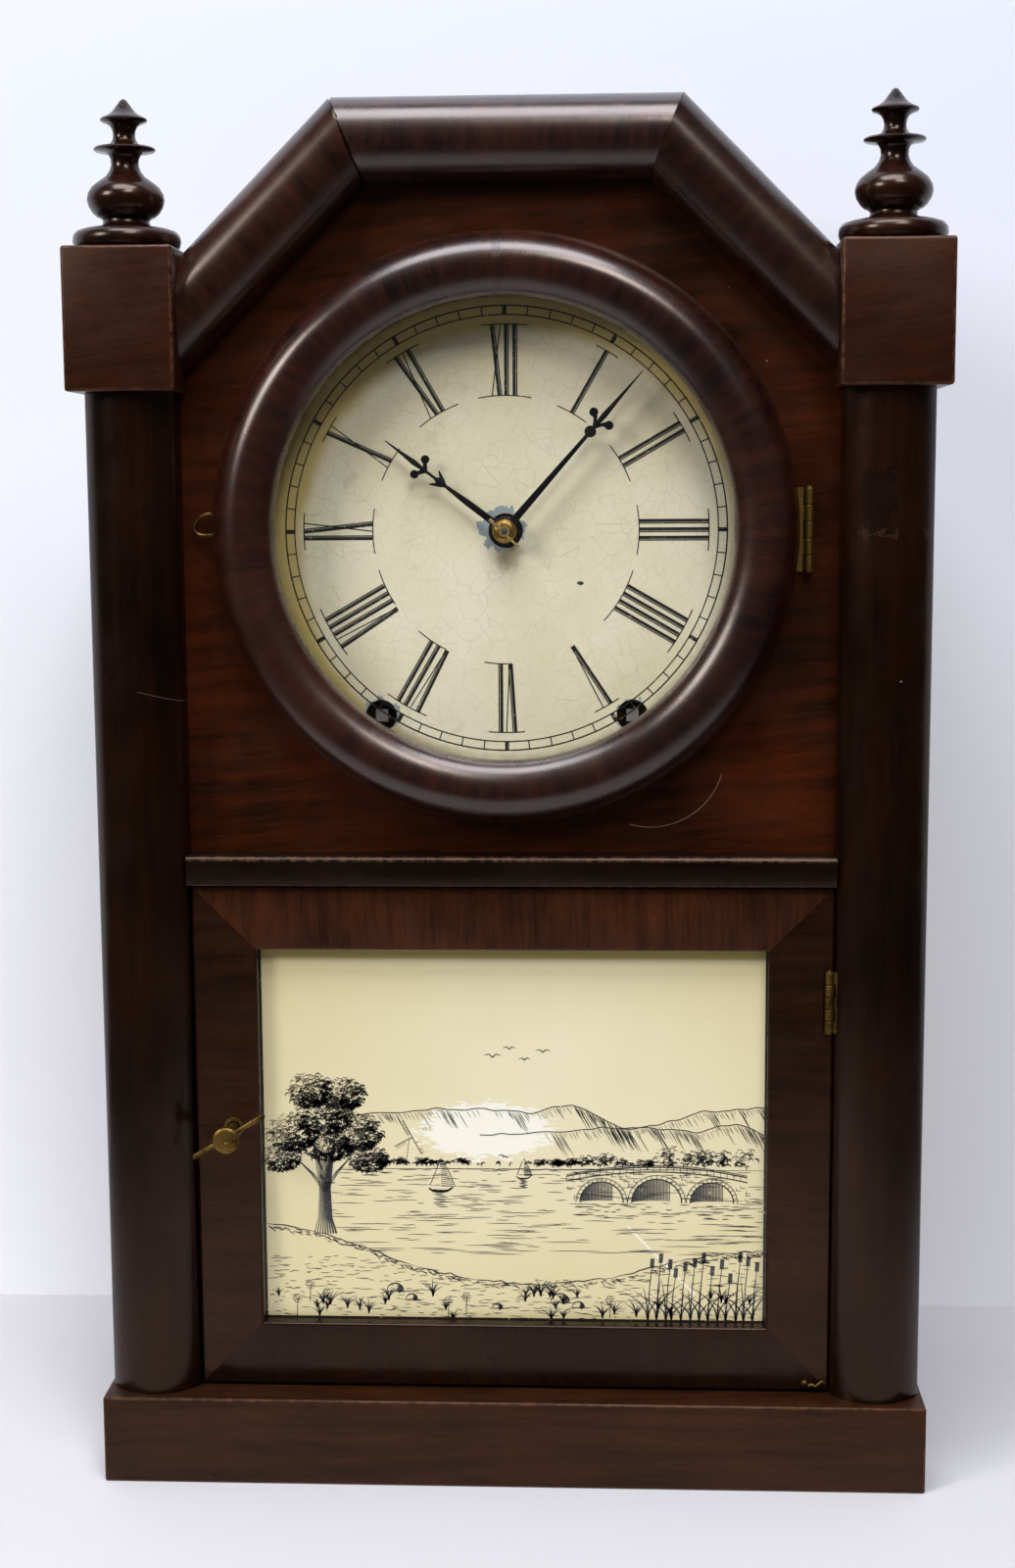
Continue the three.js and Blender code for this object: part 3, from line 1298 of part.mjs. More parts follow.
// The hammer hangs between the plates beside the gong, with a tail up to the lifting pins. Its pivot is the origin.
function hammer() {
  const y = gongY();
  const strikeRadius = gongRadiusAt(1 - 1 / 6 / gongTurns) + gongWire;
  const headRight = gongAside - strikeRadius - hammerGap - gongWire / 4 - hammerAxis[0];
  const headX = headRight - hammerHeadLength / 2;
  const drop = hammerAxis[1] - gongHeight;
  const head = new THREE.CylinderGeometry(hammerHeadRadius, hammerHeadRadius, hammerHeadLength, 14);
  head.rotateZ(Math.PI / 2).translate(headX, y, -drop);
  const reach = Math.hypot(headX, drop - hammerHeadRadius / 2);
  const lean = Math.atan2(-headX, drop - hammerHeadRadius / 2);
  const arm = turnZ([[0, -reach], [hammerArmRadius, -reach], [hammerArmRadius, 0], [0, 0]], 6);
  arm.rotateY(lean).translate(0, y, 0);
  const turned = turnY(arborProfile(hammerArborRadius, [], plateFaceY, backPlateOuterY), 8);
  const tailY = layerY(secondLayer) - 0.6 - 1.2;
  const tip = from(strikeSecondAxis, bearing(strikeSecondAxis, hammerAxis), liftRadius + 0.7 + 0.9);
  const tailLength = distance(hammerAxis, tip);
  const tail = box(-0.9, 0.9, tailY, tailY + 1.2, 0, tailLength);
  tail.rotateY(bearing(hammerAxis, tip));
  return join(turned, arm, head, tail);
}

// ---- Assembly ----

function buildCase() {
  add('plinth', plinth(), mahogany);
  add('base_board', baseBoard(), pine);
  add('side_board_left', sideBoard(-1), mahogany);
  add('side_board_right', sideBoard(1), mahogany);
  roofBoards();
  add('back_board', backBoard(), pine);
  add('front_board', frontBoard(), mahoganyRed);
  add('column_left', column(-1), mahogany);
  add('column_right', hingedColumn(), mahogany);
  add('corner_block_left', cornerBlock(-1), mahogany);
  add('corner_block_right', cornerBlock(1), mahogany);
  crownMouldings();
  add('shelf_rail', shelfRail(), mahogany);
  const finialX = (doorwayHalf - blockInside + columnOuter + blockOutside) / 2;
  for (const [name, side] of [['finial_left', -1], ['finial_right', 1]]) {
    const seated = finial().translate(0, frontY + finialSetback, 0);
    add(name, seated, mahogany, [side * finialX, blockZ() + blockHeight + glueLine]);
  }
}

function buildDoors() {
  add('bezel_ring', bezelRing(), mahogany);
  add('bezel_glass', bezelGlass(), glass, centreAxis);
  add('bezel_pull', bezelPull(), brass);
  bezelHinges();
  doorFrame();
  doorHinges();
  add('door_tablet', doorTablet(), tabletPaint);
  add('door_knob', doorKnob(), brass, knobAxis());
  add('knob_cross_rod', tommyRod(tommyRadius), brass, knobAxis());
  add('door_latch', doorLatch(), brass, knobAxis());
}

function buildMovement() {
  add('dial', dial(), dialPaint);
  add('front_plate', frontPlate(), brass);
  add('back_plate', backPlate(), brass);
  add('time_mainspring', mainspring(1), steel, timeKeyAxis);
  add('strike_mainspring', mainspring(-1), steel, strikeKeyAxis);
  add('time_winding_arbor', keyArbor(), steel, timeKeyAxis);
  add('strike_winding_arbor', keyArbor(), steel, strikeKeyAxis);
  add('time_great_wheel', greatWheel(timeKeyAxis, secondAxis), brass, timeKeyAxis);
  add('strike_great_wheel', greatWheel(strikeKeyAxis, strikeSecondAxis), brass, strikeKeyAxis);
  add('time_second_wheel', secondArbor(), brass, secondAxis);
  add('centre_wheel', centreArbor(), brass, centreAxis);
  add('third_wheel', thirdArbor(), brass, thirdAxis);
  add('escape_wheel', escapeArbor(), brass, escapeAxis);
  add('minute_wheel', minuteWheel(), brass, minuteAxis);
  add('hour_wheel', hourWheel(), brass, centreAxis);
  add('hour_hand', hourHand(), bluedSteel, centreAxis);
  add('minute_hand', minuteHand(), bluedSteel, centreAxis);
  add('strike_second_wheel', strikeSecondArbor(), brass, strikeSecondAxis);
  add('strike_third_wheel', strikeThirdArbor(), brass, strikeThirdAxis);
  add('strike_fly', fly(), brass, flyAxis);
  add('verge', verge(), steel, vergeAxis);
  add('pendulum_rod', pendulumRod(), steel, vergeAxis);
  add('pendulum_bob', pendulumBob(), brass, vergeAxis);
  add('gong_coil', gongCoil(), bluedSteel, [gongAside, gongHeight]);
  add('gong_base', gongBase(), castIron, [gongAside, gongHeight]);
  add('hammer', hammer(), steel, hammerAxis);
}

buildCase();
buildDoors();
buildMovement();

export default clock;
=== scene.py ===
"""The looks of an old shelf clock with an octagon top, built round its CAD frame.

Lengths are in metres, in the frame of the CAD model: the dial faces -Y and the clock stands on Z = 0.
"""

import math
import random

import bmesh
import bpy
from mathutils import Matrix, Vector, noise


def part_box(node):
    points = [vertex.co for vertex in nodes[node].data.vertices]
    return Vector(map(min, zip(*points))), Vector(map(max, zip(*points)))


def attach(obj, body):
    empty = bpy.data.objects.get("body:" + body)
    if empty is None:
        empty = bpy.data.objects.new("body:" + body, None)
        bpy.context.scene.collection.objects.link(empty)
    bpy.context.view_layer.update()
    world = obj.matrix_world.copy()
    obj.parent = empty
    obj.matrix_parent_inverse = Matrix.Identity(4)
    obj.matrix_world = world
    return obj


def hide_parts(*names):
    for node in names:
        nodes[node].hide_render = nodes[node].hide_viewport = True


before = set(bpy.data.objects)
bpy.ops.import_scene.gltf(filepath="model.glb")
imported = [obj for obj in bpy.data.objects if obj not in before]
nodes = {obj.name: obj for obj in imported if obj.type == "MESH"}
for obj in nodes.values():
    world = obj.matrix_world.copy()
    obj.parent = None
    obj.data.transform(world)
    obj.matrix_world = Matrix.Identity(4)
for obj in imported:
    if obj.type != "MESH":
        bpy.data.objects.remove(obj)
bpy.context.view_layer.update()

MM = 0.001
SAME = 1e-6  # places closer than this are one place


# ---- Places read from the frame ----

ring_low, ring_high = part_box("bezel_ring")
dial_low, dial_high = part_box("dial")
board_low, board_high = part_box("front_board")
tablet_low, tablet_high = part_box("door_tablet")
DIAL_X = (ring_low.x + ring_high.x) / 2
DIAL_Z = (ring_low.z + ring_high.z) / 2
RING_RADIUS = (ring_high.z - ring_low.z) / 2
DIAL_FACE = dial_low.y
DIAL_RADIUS = (dial_high.z - dial_low.z) / 2
TABLET_MIDDLE = (tablet_low + tablet_high) / 2
KEY_ASIDE, KEY_DROP = 0.0372, 0.0544  # the winding holes, from the dial's middle
RING_GIRTH = 0.075  # the radius along which the ring's veneer is measured
DOOR_FRAME = 0.019  # the width of the lower door's rails and stiles
DOOR_REBATE = 0.015  # from the frame's outer edge to its rebate


# ---- Mesh tools ----


def new_object(name, data):
    thing = bpy.data.objects.new(name, data)
    bpy.context.scene.collection.objects.link(thing)
    return thing


def mesh_data(mesh, name, material):
    """Turns a finished mesh into data with a material, and frees it."""
    data = bpy.data.meshes.new(name)
    mesh.to_mesh(data)
    mesh.free()
    data.materials.append(material)
    return data


def add_piece(mesh, name, body, material, replaced=(), crease=35):
    """Makes a finished mesh a piece of the clock that rides on a body and may stand for CAD nodes."""
    bmesh.ops.remove_doubles(mesh, verts=mesh.verts, dist=1e-7)
    bmesh.ops.recalc_face_normals(mesh, faces=mesh.faces)
    for face in mesh.faces:
        face.smooth = True
    data = mesh_data(mesh, name, material)
    data.set_sharp_from_angle(angle=math.radians(crease))
    piece = new_object(name, data)
    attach(piece, body)
    if replaced:
        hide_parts(*replaced)
    return piece


def push(mesh, faces, step):
    """Extrudes faces by a step. Gives the faces that were moved."""
    made = bmesh.ops.extrude_face_region(mesh, geom=list(faces))["geom"]
    moved = [v for v in made if isinstance(v, bmesh.types.BMVert)]
    bmesh.ops.translate(mesh, vec=step, verts=moved)
    return [f for f in made if isinstance(f, bmesh.types.BMFace)]


def draw_out(mesh, face, step, first):
    """Extrudes the end face of a bar, and keeps its hollow free of inner faces after the first step."""
    grown = push(mesh, [face], step)[0]
    if face.is_valid and not first:
        bmesh.ops.delete(mesh, geom=[face], context="FACES_ONLY")
    return grown


def upright(outline, low, high):
    """An outline in X and Y made solid from one height up to another."""
    mesh = bmesh.new()
    face = mesh.faces.new([mesh.verts.new((x, y, low)) for x, y in outline])
    push(mesh, [face], (0, 0, high - low))
    bmesh.ops.recalc_face_normals(mesh, faces=mesh.faces)
    return mesh


def lathe(profile, centre, axis=(0, 1, 0), steps=64):
    """A profile of (radius, distance along the axis) points turned about an axis through the centre."""
    mesh = bmesh.new()
    axis = Vector(axis)
    side = Vector((1, 0, 0)) if abs(axis.x) < 0.9 else Vector((0, 0, 1))
    side = (side - axis * side.dot(axis)).normalized()
    corners = [mesh.verts.new(Vector(centre) + side * r + axis * d) for r, d in profile]
    edges = [mesh.edges.new(pair) for pair in zip(corners, corners[1:])]
    bmesh.ops.spin(
        mesh, geom=corners + edges, cent=centre, axis=axis, dvec=(0, 0, 0), angle=2 * math.pi, steps=steps,
        use_merge=True,
    )
    bmesh.ops.remove_doubles(mesh, verts=mesh.verts, dist=1e-7)
    return mesh


def join_meshes(*parts):
    """One mesh that holds all the parts."""
    whole = parts[0]
    for part in parts[1:]:
        data = bpy.data.meshes.new("part")
        part.to_mesh(data)
        part.free()
        whole.from_mesh(data)
        bpy.data.meshes.remove(data)
    return whole


def block(low, high):
    """A box between two corners."""
    mesh = bmesh.new()
    bmesh.ops.create_cube(mesh, size=1)
    low, high = Vector(low), Vector(high)
    bmesh.ops.scale(mesh, vec=high - low, verts=mesh.verts)
    bmesh.ops.translate(mesh, vec=(low + high) / 2, verts=mesh.verts)
    return mesh


def sharp_edges(mesh, angle):
    return [e for e in mesh.edges if len(e.link_faces) == 2 and e.calc_face_angle(0) > angle]


def edges_at(edges, axis, place):
    """Those edges that lie wholly at one place along an axis."""
    return [e for e in edges if all(abs(v.co[axis] - place) < SAME for v in e.verts)]


def round_edges(mesh, width, segments, edges):
    """Rounds edges, and marks the new faces as rubbed."""
    mark_layer = mesh.faces.layers.float.get("rub") or mesh.faces.layers.float.new("rub")
    made = bmesh.ops.bevel(
        mesh, geom=edges, offset=width, offset_type="OFFSET", segments=segments, profile=0.5, affect="EDGES",
        material=-1, clamp_overlap=True,
    )
    for face in made["faces"]:
        face[mark_layer] = 1.0


def slab(outline, front, back, bevel=0.0, segments=2, holes=()):
    """An outline in X and Z, with round holes, made solid from front back to its back."""
    mesh = bmesh.new()
    corners = [mesh.verts.new((x, front, z)) for x, z in outline]
    edges = [mesh.edges.new(pair) for pair in zip(corners, corners[1:] + corners[:1])]
    for x, z, radius, steps in holes:
        made = bmesh.ops.create_circle(mesh, cap_ends=False, radius=radius, segments=steps)
        turn = Matrix.Translation((x, front, z)) @ Matrix.Rotation(math.pi / 2, 4, "X")
        bmesh.ops.transform(mesh, matrix=turn, verts=made["verts"])
        edges += list({e for v in made["verts"] for e in v.link_edges})
    bmesh.ops.triangle_fill(mesh, use_beauty=True, edges=edges, normal=(0, -1, 0))
    bmesh.ops.dissolve_limit(mesh, angle_limit=0.01, verts=mesh.verts, edges=mesh.edges)
    push(mesh, mesh.faces, (0, back - front, 0))
    bmesh.ops.recalc_face_normals(mesh, faces=mesh.faces)
    if bevel:
        round_edges(mesh, bevel, segments, edges_at(sharp_edges(mesh, math.radians(40)), 1, front))
    return mesh


def mitred_strip(start, end, section, cuts=40, gap=0.00005, ragged=None):
    """A strip of moulding between two ends that are each cut at their own slant.

    An end is an (outer, inner) pair of (x, z) points, and the section is (share from outer to inner, y)."""
    mesh = bmesh.new()
    face = mesh.faces.new([mesh.verts.new((share, y, 0)) for share, y in section])
    for i in range(cuts):
        face = draw_out(mesh, face, (0, 0, 1 / cuts), i == 0)
    length = math.hypot(end[0][0] - start[0][0], end[0][1] - start[0][1])
    for v in mesh.verts:
        across, y, t = v.co
        along = gap / length + t * (1 - 2 * gap / length)
        if ragged:
            along += ragged(t, across, y) / length
        start_at = Vector(start[0]).lerp(Vector(start[1]), across)
        end_at = Vector(end[0]).lerp(Vector(end[1]), across)
        x, z = start_at.lerp(end_at, along)
        v.co = (x, y, z)
    return mesh


def wire(points, radius, sides=10):
    """A round wire bent through points, with flat ends."""
    points = [Vector(p) for p in points]
    last = len(points) - 1
    runs = [(points[min(i + 1, last)] - points[max(i - 1, 0)]).normalized() for i in range(last + 1)]
    mesh = bmesh.new()
    bmesh.ops.create_circle(mesh, cap_ends=True, radius=radius, segments=sides)
    turn = Vector((0, 0, 1)).rotation_difference(runs[0]).to_matrix()
    bmesh.ops.rotate(mesh, cent=(0, 0, 0), matrix=turn, verts=mesh.verts)
    bmesh.ops.translate(mesh, vec=points[0], verts=mesh.verts)
    mesh.faces.ensure_lookup_table()
    face = mesh.faces[0]
    for i in range(1, last + 1):
        face = draw_out(mesh, face, points[i] - points[i - 1], i == 1)
        turn = runs[i - 1].rotation_difference(runs[i]).to_matrix()
        bmesh.ops.rotate(mesh, cent=points[i], matrix=turn, verts=list(face.verts))
    return mesh


def turned(profile, centre, axis=(0, 1, 0), steps=48):
    """A profile in millimetres, turned."""
    return lathe([(r * MM, d * MM) for r, d in profile], centre, axis, steps)


def half_round(width, bulge, facets):
    """The points of a rounded face between two edges, as (across, forward)."""
    radius = width * width / 8 / bulge + bulge / 2
    half = math.asin(width / 2 / radius)
    turns = [half * (2 * i / facets - 1) for i in range(facets + 1)]
    return [(width / 2 + radius * math.sin(a), radius * math.cos(a) - radius + bulge) for a in turns]


# ---- Node tools ----


def linear(code, strength=1.0):
    """A colour written as #rrggbb, as linear light."""
    parts = [int(code[i : i + 2], 16) / 255 for i in (1, 3, 5)]
    light = [c / 12.92 if c <= 0.04045 else ((c + 0.055) / 1.055) ** 2.4 for c in parts]
    return (*[c * strength for c in light], 1.0)


class Nodes:
    """A node tree that is filled a node at a time."""

    def __init__(self, tree):
        self.tree = tree

    def add(self, kind, **settings):
        node = self.tree.nodes.new(kind)
        inputs = settings.pop("inputs", {})
        for name, value in settings.items():
            setattr(node, name, value)
        self.feed(node, inputs)
        return node

    def feed(self, node, values):
        """Links or sets a node's inputs, given as {name or number: value}."""
        for name, value in values.items():
            if isinstance(value, bpy.types.NodeSocket):
                self.tree.links.new(value, node.inputs[name])
            else:
                node.inputs[name].default_value = value

    def math(self, operation, a, b=0.0, clamp=False):
        return self.add("ShaderNodeMath", operation=operation, use_clamp=clamp, inputs={0: a, 1: b}).outputs[0]

    def times(self, a, b):
        return self.math("MULTIPLY", a, b)

    def plus(self, a, b, clamp=False):
        return self.math("ADD", a, b, clamp)

    def minus(self, a, b):
        return self.math("SUBTRACT", a, b)

    def under(self, a, b):
        return self.math("LESS_THAN", a, b)

    def size(self, a):
        return self.math("ABSOLUTE", a)

    def vector_math(self, operation, a, b):
        return self.add("ShaderNodeVectorMath", operation=operation, inputs={0: a, 1: b})

    def stretch(self, vector, scale):
        return self.vector_math("MULTIPLY", vector, scale).outputs[0]

    def length(self, vector, start=(0, 0, 0), scale=(1, 1, 1)):
        """The distance from a start, with each direction scaled."""
        away = self.vector_math("SUBTRACT", vector, start).outputs[0]
        return self.vector_math("LENGTH", self.stretch(away, scale), (0, 0, 0)).outputs["Value"]

    def parts(self, vector):
        """The X, Y and Z of a vector."""
        return tuple(self.add("ShaderNodeSeparateXYZ", inputs={"Vector": vector}).outputs)

    def flat(self, x, z):
        """A vector with no Y, for a pattern on a flat front."""
        return self.add("ShaderNodeCombineXYZ", inputs={"X": x, "Z": z}).outputs[0]

    def attribute(self, name, kind):
        return self.add("ShaderNodeAttribute", attribute_name=name).outputs[kind]

    def noise(self, vector, scale, detail=2.0, roughness=0.5, distortion=0.0):
        values = {"Vector": vector, "Scale": scale, "Detail": detail, "Roughness": roughness, "Distortion": distortion}
        return self.add("ShaderNodeTexNoise", inputs=values).outputs[0]

    def spread(self, value, low, high, to_low=0.0, to_high=1.0, smooth=False):
        """Maps the range from low to high onto another, with no overshoot."""
        kind = "SMOOTHSTEP" if smooth else "LINEAR"
        values = {"Value": value, "From Min": low, "From Max": high, "To Min": to_low, "To Max": to_high}
        return self.add("ShaderNodeMapRange", interpolation_type=kind, inputs=values).outputs[0]

    def mix(self, share, a, b):
        # A Mix node's colour sockets are its inputs 6 and 7 and its output 2.
        return self.add("ShaderNodeMix", data_type="RGBA", inputs={0: share, 6: a, 7: b}).outputs[2]

    def ragged(self, value, vector, scale, detail, roughness, middle, reach):
        """A distance made uneven by noise about its middle."""
        return self.plus(value, self.times(self.minus(self.noise(vector, scale, detail, roughness), middle), reach))

    def most(self, values):
        """The greatest of several values."""
        greatest = values[0]
        for value in values[1:]:
            greatest = self.math("MAXIMUM", greatest, value)
        return greatest

    def cells(self, vector, scale):
        """The distance from the nearest of many scattered points, and that point's own three random values."""
        found = self.add("ShaderNodeTexVoronoi", inputs={"Vector": vector, "Scale": scale}).outputs
        return found["Distance"], self.add("ShaderNodeSeparateColor", inputs={"Color": found["Color"]}).outputs

    def bump(self, shader, height, strength, distance):
        bumps = self.add("ShaderNodeBump", inputs={"Height": height, "Strength": strength, "Distance": distance})
        self.feed(shader, {"Normal": bumps.outputs[0]})


def new_group(name, inputs, outputs):
    """A node group with named sockets. Gives the tool for its tree, its input's sockets and its output node."""
    tree = bpy.data.node_groups.new(name, "ShaderNodeTree")
    kinds = {"color": "NodeSocketColor", "vector": "NodeSocketVector", "value": "NodeSocketFloat"}
    for label, kind, default in inputs:
        socket = tree.interface.new_socket(name=label, in_out="INPUT", socket_type=kinds[kind])
        if default is not None:
            socket.default_value = default
    for label, kind in outputs:
        tree.interface.new_socket(name=label, in_out="OUTPUT", socket_type=kinds[kind])
    return Nodes(tree), tree.nodes.new("NodeGroupInput").outputs, tree.nodes.new("NodeGroupOutput")


SURFACE = [("Color", "color"), ("Roughness", "value"), ("Height", "value")]


def polished_veneer_group():
    """Old polished veneer, its grain along the vector's X: streaks, pores, patches, rubbed edges and specks."""
    n, inside, out = new_group(
        "polished_veneer",
        [
            ("Vector", "vector", None),
            ("Dark", "color", (0.02, 0.008, 0.005, 1)),
            ("Light", "color", (0.09, 0.03, 0.015, 1)),
            ("Streaks", "value", 0.5),
            ("Patches", "value", 0.5),
            ("Rubbed", "value", 0.0),
            ("Gloss", "value", 0.3),
            ("Dust", "value", 0.5),
        ],
        SURFACE,
    )
    vector = inside["Vector"]
    warp = n.noise(vector, 30.0)
    sway = n.times(warp, 0.004)
    shift = n.add("ShaderNodeCombineXYZ", inputs={"Y": sway, "Z": sway})
    bent = n.vector_math("ADD", vector, shift.outputs[0]).outputs[0]
    broad = n.noise(n.stretch(bent, (18.0, 260.0, 260.0)), 1.0, 3.0, 0.55)
    fine = n.noise(n.stretch(bent, (70.0, 1500.0, 1500.0)), 1.0, 3.0, 0.6)
    fleck = n.noise(n.stretch(vector, (260.0, 3200.0, 3200.0)), 1.0, 1.0)
    patch = n.noise(vector, 22.0, 3.0, 0.55, 0.4)
    streak = n.spread(n.plus(n.times(broad, 0.6), n.times(fine, 0.4)), 0.36, 0.66)
    share = n.times(n.minus(streak, 0.5), inside["Streaks"])
    lift = n.times(n.minus(n.spread(patch, 0.3, 0.7), 0.5), inside["Patches"])
    tone = n.plus(n.plus(share, lift), 0.5, clamp=True)
    colour = n.mix(tone, inside["Dark"], inside["Light"])
    pores = n.spread(fleck, 0.62, 0.72)
    colour = n.mix(n.times(pores, 0.45), colour, (0.004, 0.002, 0.0015, 1))
    # Polish worn through at the edges to lighter wood.
    breakup = n.spread(n.noise(vector, 420.0, 3.0, 0.65), 0.42, 0.62)
    rubbed = n.times(n.times(inside["Rubbed"], breakup), 0.45)
    colour = n.mix(rubbed, colour, n.mix(0.55, inside["Light"], (0.2, 0.085, 0.04, 1)))
    # Specks of dust and plaster.
    distance, pick = n.cells(vector, 75.0)
    speck = n.times(n.under(distance, 0.018), n.under(pick[0], inside["Dust"]))
    colour = n.mix(n.times(speck, 0.55), colour, (0.5, 0.42, 0.34, 1))
    smear = n.noise(n.stretch(vector, (40.0, 55.0, 55.0)), 1.0, 4.0, 0.6)
    rough = n.plus(inside["Gloss"], n.spread(smear, 0.35, 0.75, -0.06, 0.14))
    rough = n.plus(rough, n.times(n.plus(speck, rubbed), 0.25), clamp=True)
    wave = n.noise(n.stretch(vector, (60.0, 90.0, 90.0)), 1.0)
    height = n.plus(n.plus(n.times(fine, 0.25), n.times(broad, 0.5)), n.times(wave, 1.6))
    n.feed(out, {"Color": colour, "Roughness": rough, "Height": height})
    return n.tree


def metal_age_group():
    """Old metal: a darker tarnish in patches, fine brush marks and small pits."""
    n, inside, out = new_group(
        "metal_age",
        [
            ("Vector", "vector", None),
            ("Clean", "color", (0.6, 0.45, 0.2, 1)),
            ("Tarnish", "color", (0.15, 0.1, 0.04, 1)),
            ("Amount", "value", 0.5),
            ("Gloss", "value", 0.3),
        ],
        SURFACE,
    )
    vector = inside["Vector"]
    cloud = n.noise(vector, 130.0, 5.0, 0.62, 0.3)
    fine = n.noise(vector, 1400.0, 3.0, 0.6)
    brush = n.noise(n.stretch(vector, (300.0, 300.0, 3600.0)), 1.0)
    edge = n.plus(n.times(cloud, 0.75), n.times(fine, 0.25))
    low = n.minus(0.75, n.times(inside["Amount"], 0.5))
    share = n.spread(n.minus(edge, low), -0.08, 0.16)
    colour = n.mix(share, inside["Clean"], inside["Tarnish"])
    colour = n.mix(n.spread(brush, 0.3, 0.7, 0.0, 0.22), colour, inside["Tarnish"])
    rough = n.plus(inside["Gloss"], n.times(share, 0.22))
    rough = n.plus(rough, n.spread(fine, 0.3, 0.7, -0.04, 0.08), clamp=True)
    height = n.plus(n.times(fine, 0.6), n.times(brush, 0.4))
    n.feed(out, {"Color": colour, "Roughness": rough, "Height": height})
    return n.tree


VENEER = polished_veneer_group()
METAL_AGE = metal_age_group()


def start_material(name):
    """A new material with its node tool and its Principled shader."""
    material = bpy.data.materials.new(name)
    material.use_nodes = True
    tree = material.node_tree
    return material, Nodes(tree), tree.nodes["Principled BSDF"]


def object_place(n, turn=0.0, centre=(0, 0, 0)):
    """Object coordinates turned about Y, so that the direction `turn` degrees above +X becomes X."""
    source = n.add("ShaderNodeTexCoord").outputs["Object"]
    values = {"Vector": source, "Location": centre, "Rotation": (0, math.radians(turn), 0)}
    return n.add("ShaderNodeMapping", vector_type="POINT", inputs=values).outputs[0]


def veneer(name, dark, light, turn=0.0, streaks=0.8, patches=0.6, gloss=0.24, coat=0.35, dust=0.35, place=None,
           bump=0.12, after=None, haze=0.12):
    """Polished veneer with its grain at an angle above +X, or along a piece's own attribute."""
    material, n, shader = start_material(name)
    vector = n.attribute(place, "Vector") if place else object_place(n, turn)
    group = n.add("ShaderNodeGroup", node_tree=VENEER, inputs={
        "Vector": vector, "Dark": linear(dark), "Light": linear(light), "Streaks": streaks, "Patches": patches,
        "Rubbed": n.attribute("rub", "Fac"), "Gloss": gloss, "Dust": dust,
    }).outputs
    colour = after(n, group["Color"]) if after else group["Color"]
    n.feed(shader, {
        "Base Color": colour, "Roughness": group["Roughness"], "Coat Weight": coat, "Coat Roughness": haze,
        "Specular IOR Level": 0.3, "Specular Tint": (1.0, 0.68, 0.5, 1.0),
    })
    n.bump(shader, group["Height"], bump, 0.0006)
    return material


def metal(name, clean, tarnish, amount, gloss, metallic=1.0, bump=0.12):
    material, n, shader = start_material(name)
    group = n.add("ShaderNodeGroup", node_tree=METAL_AGE, inputs={
        "Vector": object_place(n), "Clean": linear(clean), "Tarnish": linear(tarnish), "Amount": amount, "Gloss": gloss,
    }).outputs
    n.feed(shader, {"Base Color": group["Color"], "Roughness": group["Roughness"], "Metallic": metallic})
    n.bump(shader, group["Height"], bump, 0.0002)
    return material


# ---- Materials ----


def column_damage(n, colour):
    """A patch and an edge where the right column's veneer is gone, and a long scratch on the left column."""
    place = object_place(n)
    x, _, z = n.parts(place)
    ragged = n.ragged(0.0, place, 260.0, 5.0, 0.7, 0.5, 0.013)

    def near(value, middle, half):
        return n.minus(n.size(n.minus(value, middle)), half)

    def gone_place(x_middle, x_half, z_middle, z_half):
        return n.plus(n.math("MAXIMUM", near(x, x_middle, x_half), near(z, z_middle, z_half)), ragged)

    patch = gone_place(0.1042, 0.0048, 0.2915, 0.0092)
    edge = gone_place(0.1205, 0.0022, 0.3030, 0.0200)
    gone = n.math("MINIMUM", patch, edge)
    colour = n.mix(n.spread(gone, -0.0002, 0.0001, 0.65, 0.0), colour, (0.0045, 0.0022, 0.0015, 1))
    # The broken edge catches the light, most of all at its foot.
    low_edge = n.times(n.under(z, 0.284), 0.4)
    rim = n.times(n.spread(n.size(gone), 0.0, 0.0004, 1.0, 0.0), n.plus(low_edge, 0.08))
    colour = n.mix(rim, colour, (0.075, 0.038, 0.022, 1))
    slant = n.plus(z, n.times(n.plus(x, 0.1), 0.28))
    line = n.spread(n.size(n.minus(slant, 0.2362)), 0.00005, 0.00018, 0.45, 0.0)
    span = n.under(near(x, -0.1, 0.0065), 0.0)
    return n.mix(n.times(line, span), colour, (0.16, 0.09, 0.06, 1))


def panel_scratch(n, colour):
    """A hair-fine curved scratch in the polish, low on the right of the panel."""
    place = object_place(n)
    centre = (0.041, 0, 0.2185)
    ring = n.size(n.minus(n.length(place, centre, (1.0, 0.0, 1.0)), 0.0218))
    wobble = n.times(n.noise(place, 70.0), 0.0002)
    line = n.spread(n.minus(ring, wobble), 0.00002, 0.00016, 0.6, 0.0)
    x, _, z = n.parts(place)
    below = n.under(z, centre[2] - 0.006)
    aside = n.math("GREATER_THAN", x, centre[0] - 0.006)
    return n.mix(n.times(n.times(line, below), aside), colour, (0.22, 0.12, 0.07, 1))


wood_crown_top = veneer("crown_top_veneer", "#120806", "#2d1410", 90, 1.3, 0.45, 0.24, 0.8, bump=0.35, haze=0.27)
wood_crown_left = veneer("crown_left_veneer", "#100604", "#34170c", 135, 0.8, 0.7, 0.28, 0.5, haze=0.25)
wood_crown_right = veneer("crown_right_veneer", "#100604", "#29130b", 45, 0.8, 0.5, 0.28, 0.5, haze=0.25)
wood_column = veneer("column_veneer", "#090402", "#1d0c05", 90, 0.7, 0.8, 0.22, 0.03, after=column_damage)
wood_block = veneer("block_veneer", "#1d0c06", "#35180c", 8, 0.7, 0.4, 0.34, 0.03, 0.3)
wood_panel = veneer("panel_veneer", "#180802", "#421906", 6, 0.7, 0.8, 0.3, 0.03, 0.6, after=panel_scratch)
wood_rail = veneer("rail_veneer", "#070403", "#150a05", 0, 0.8, 0.5, 0.26, 0.05)
wood_stile = veneer("stile_veneer", "#110703", "#2b1408", 0, 0.8, 0.7, 0.27, 0.03)
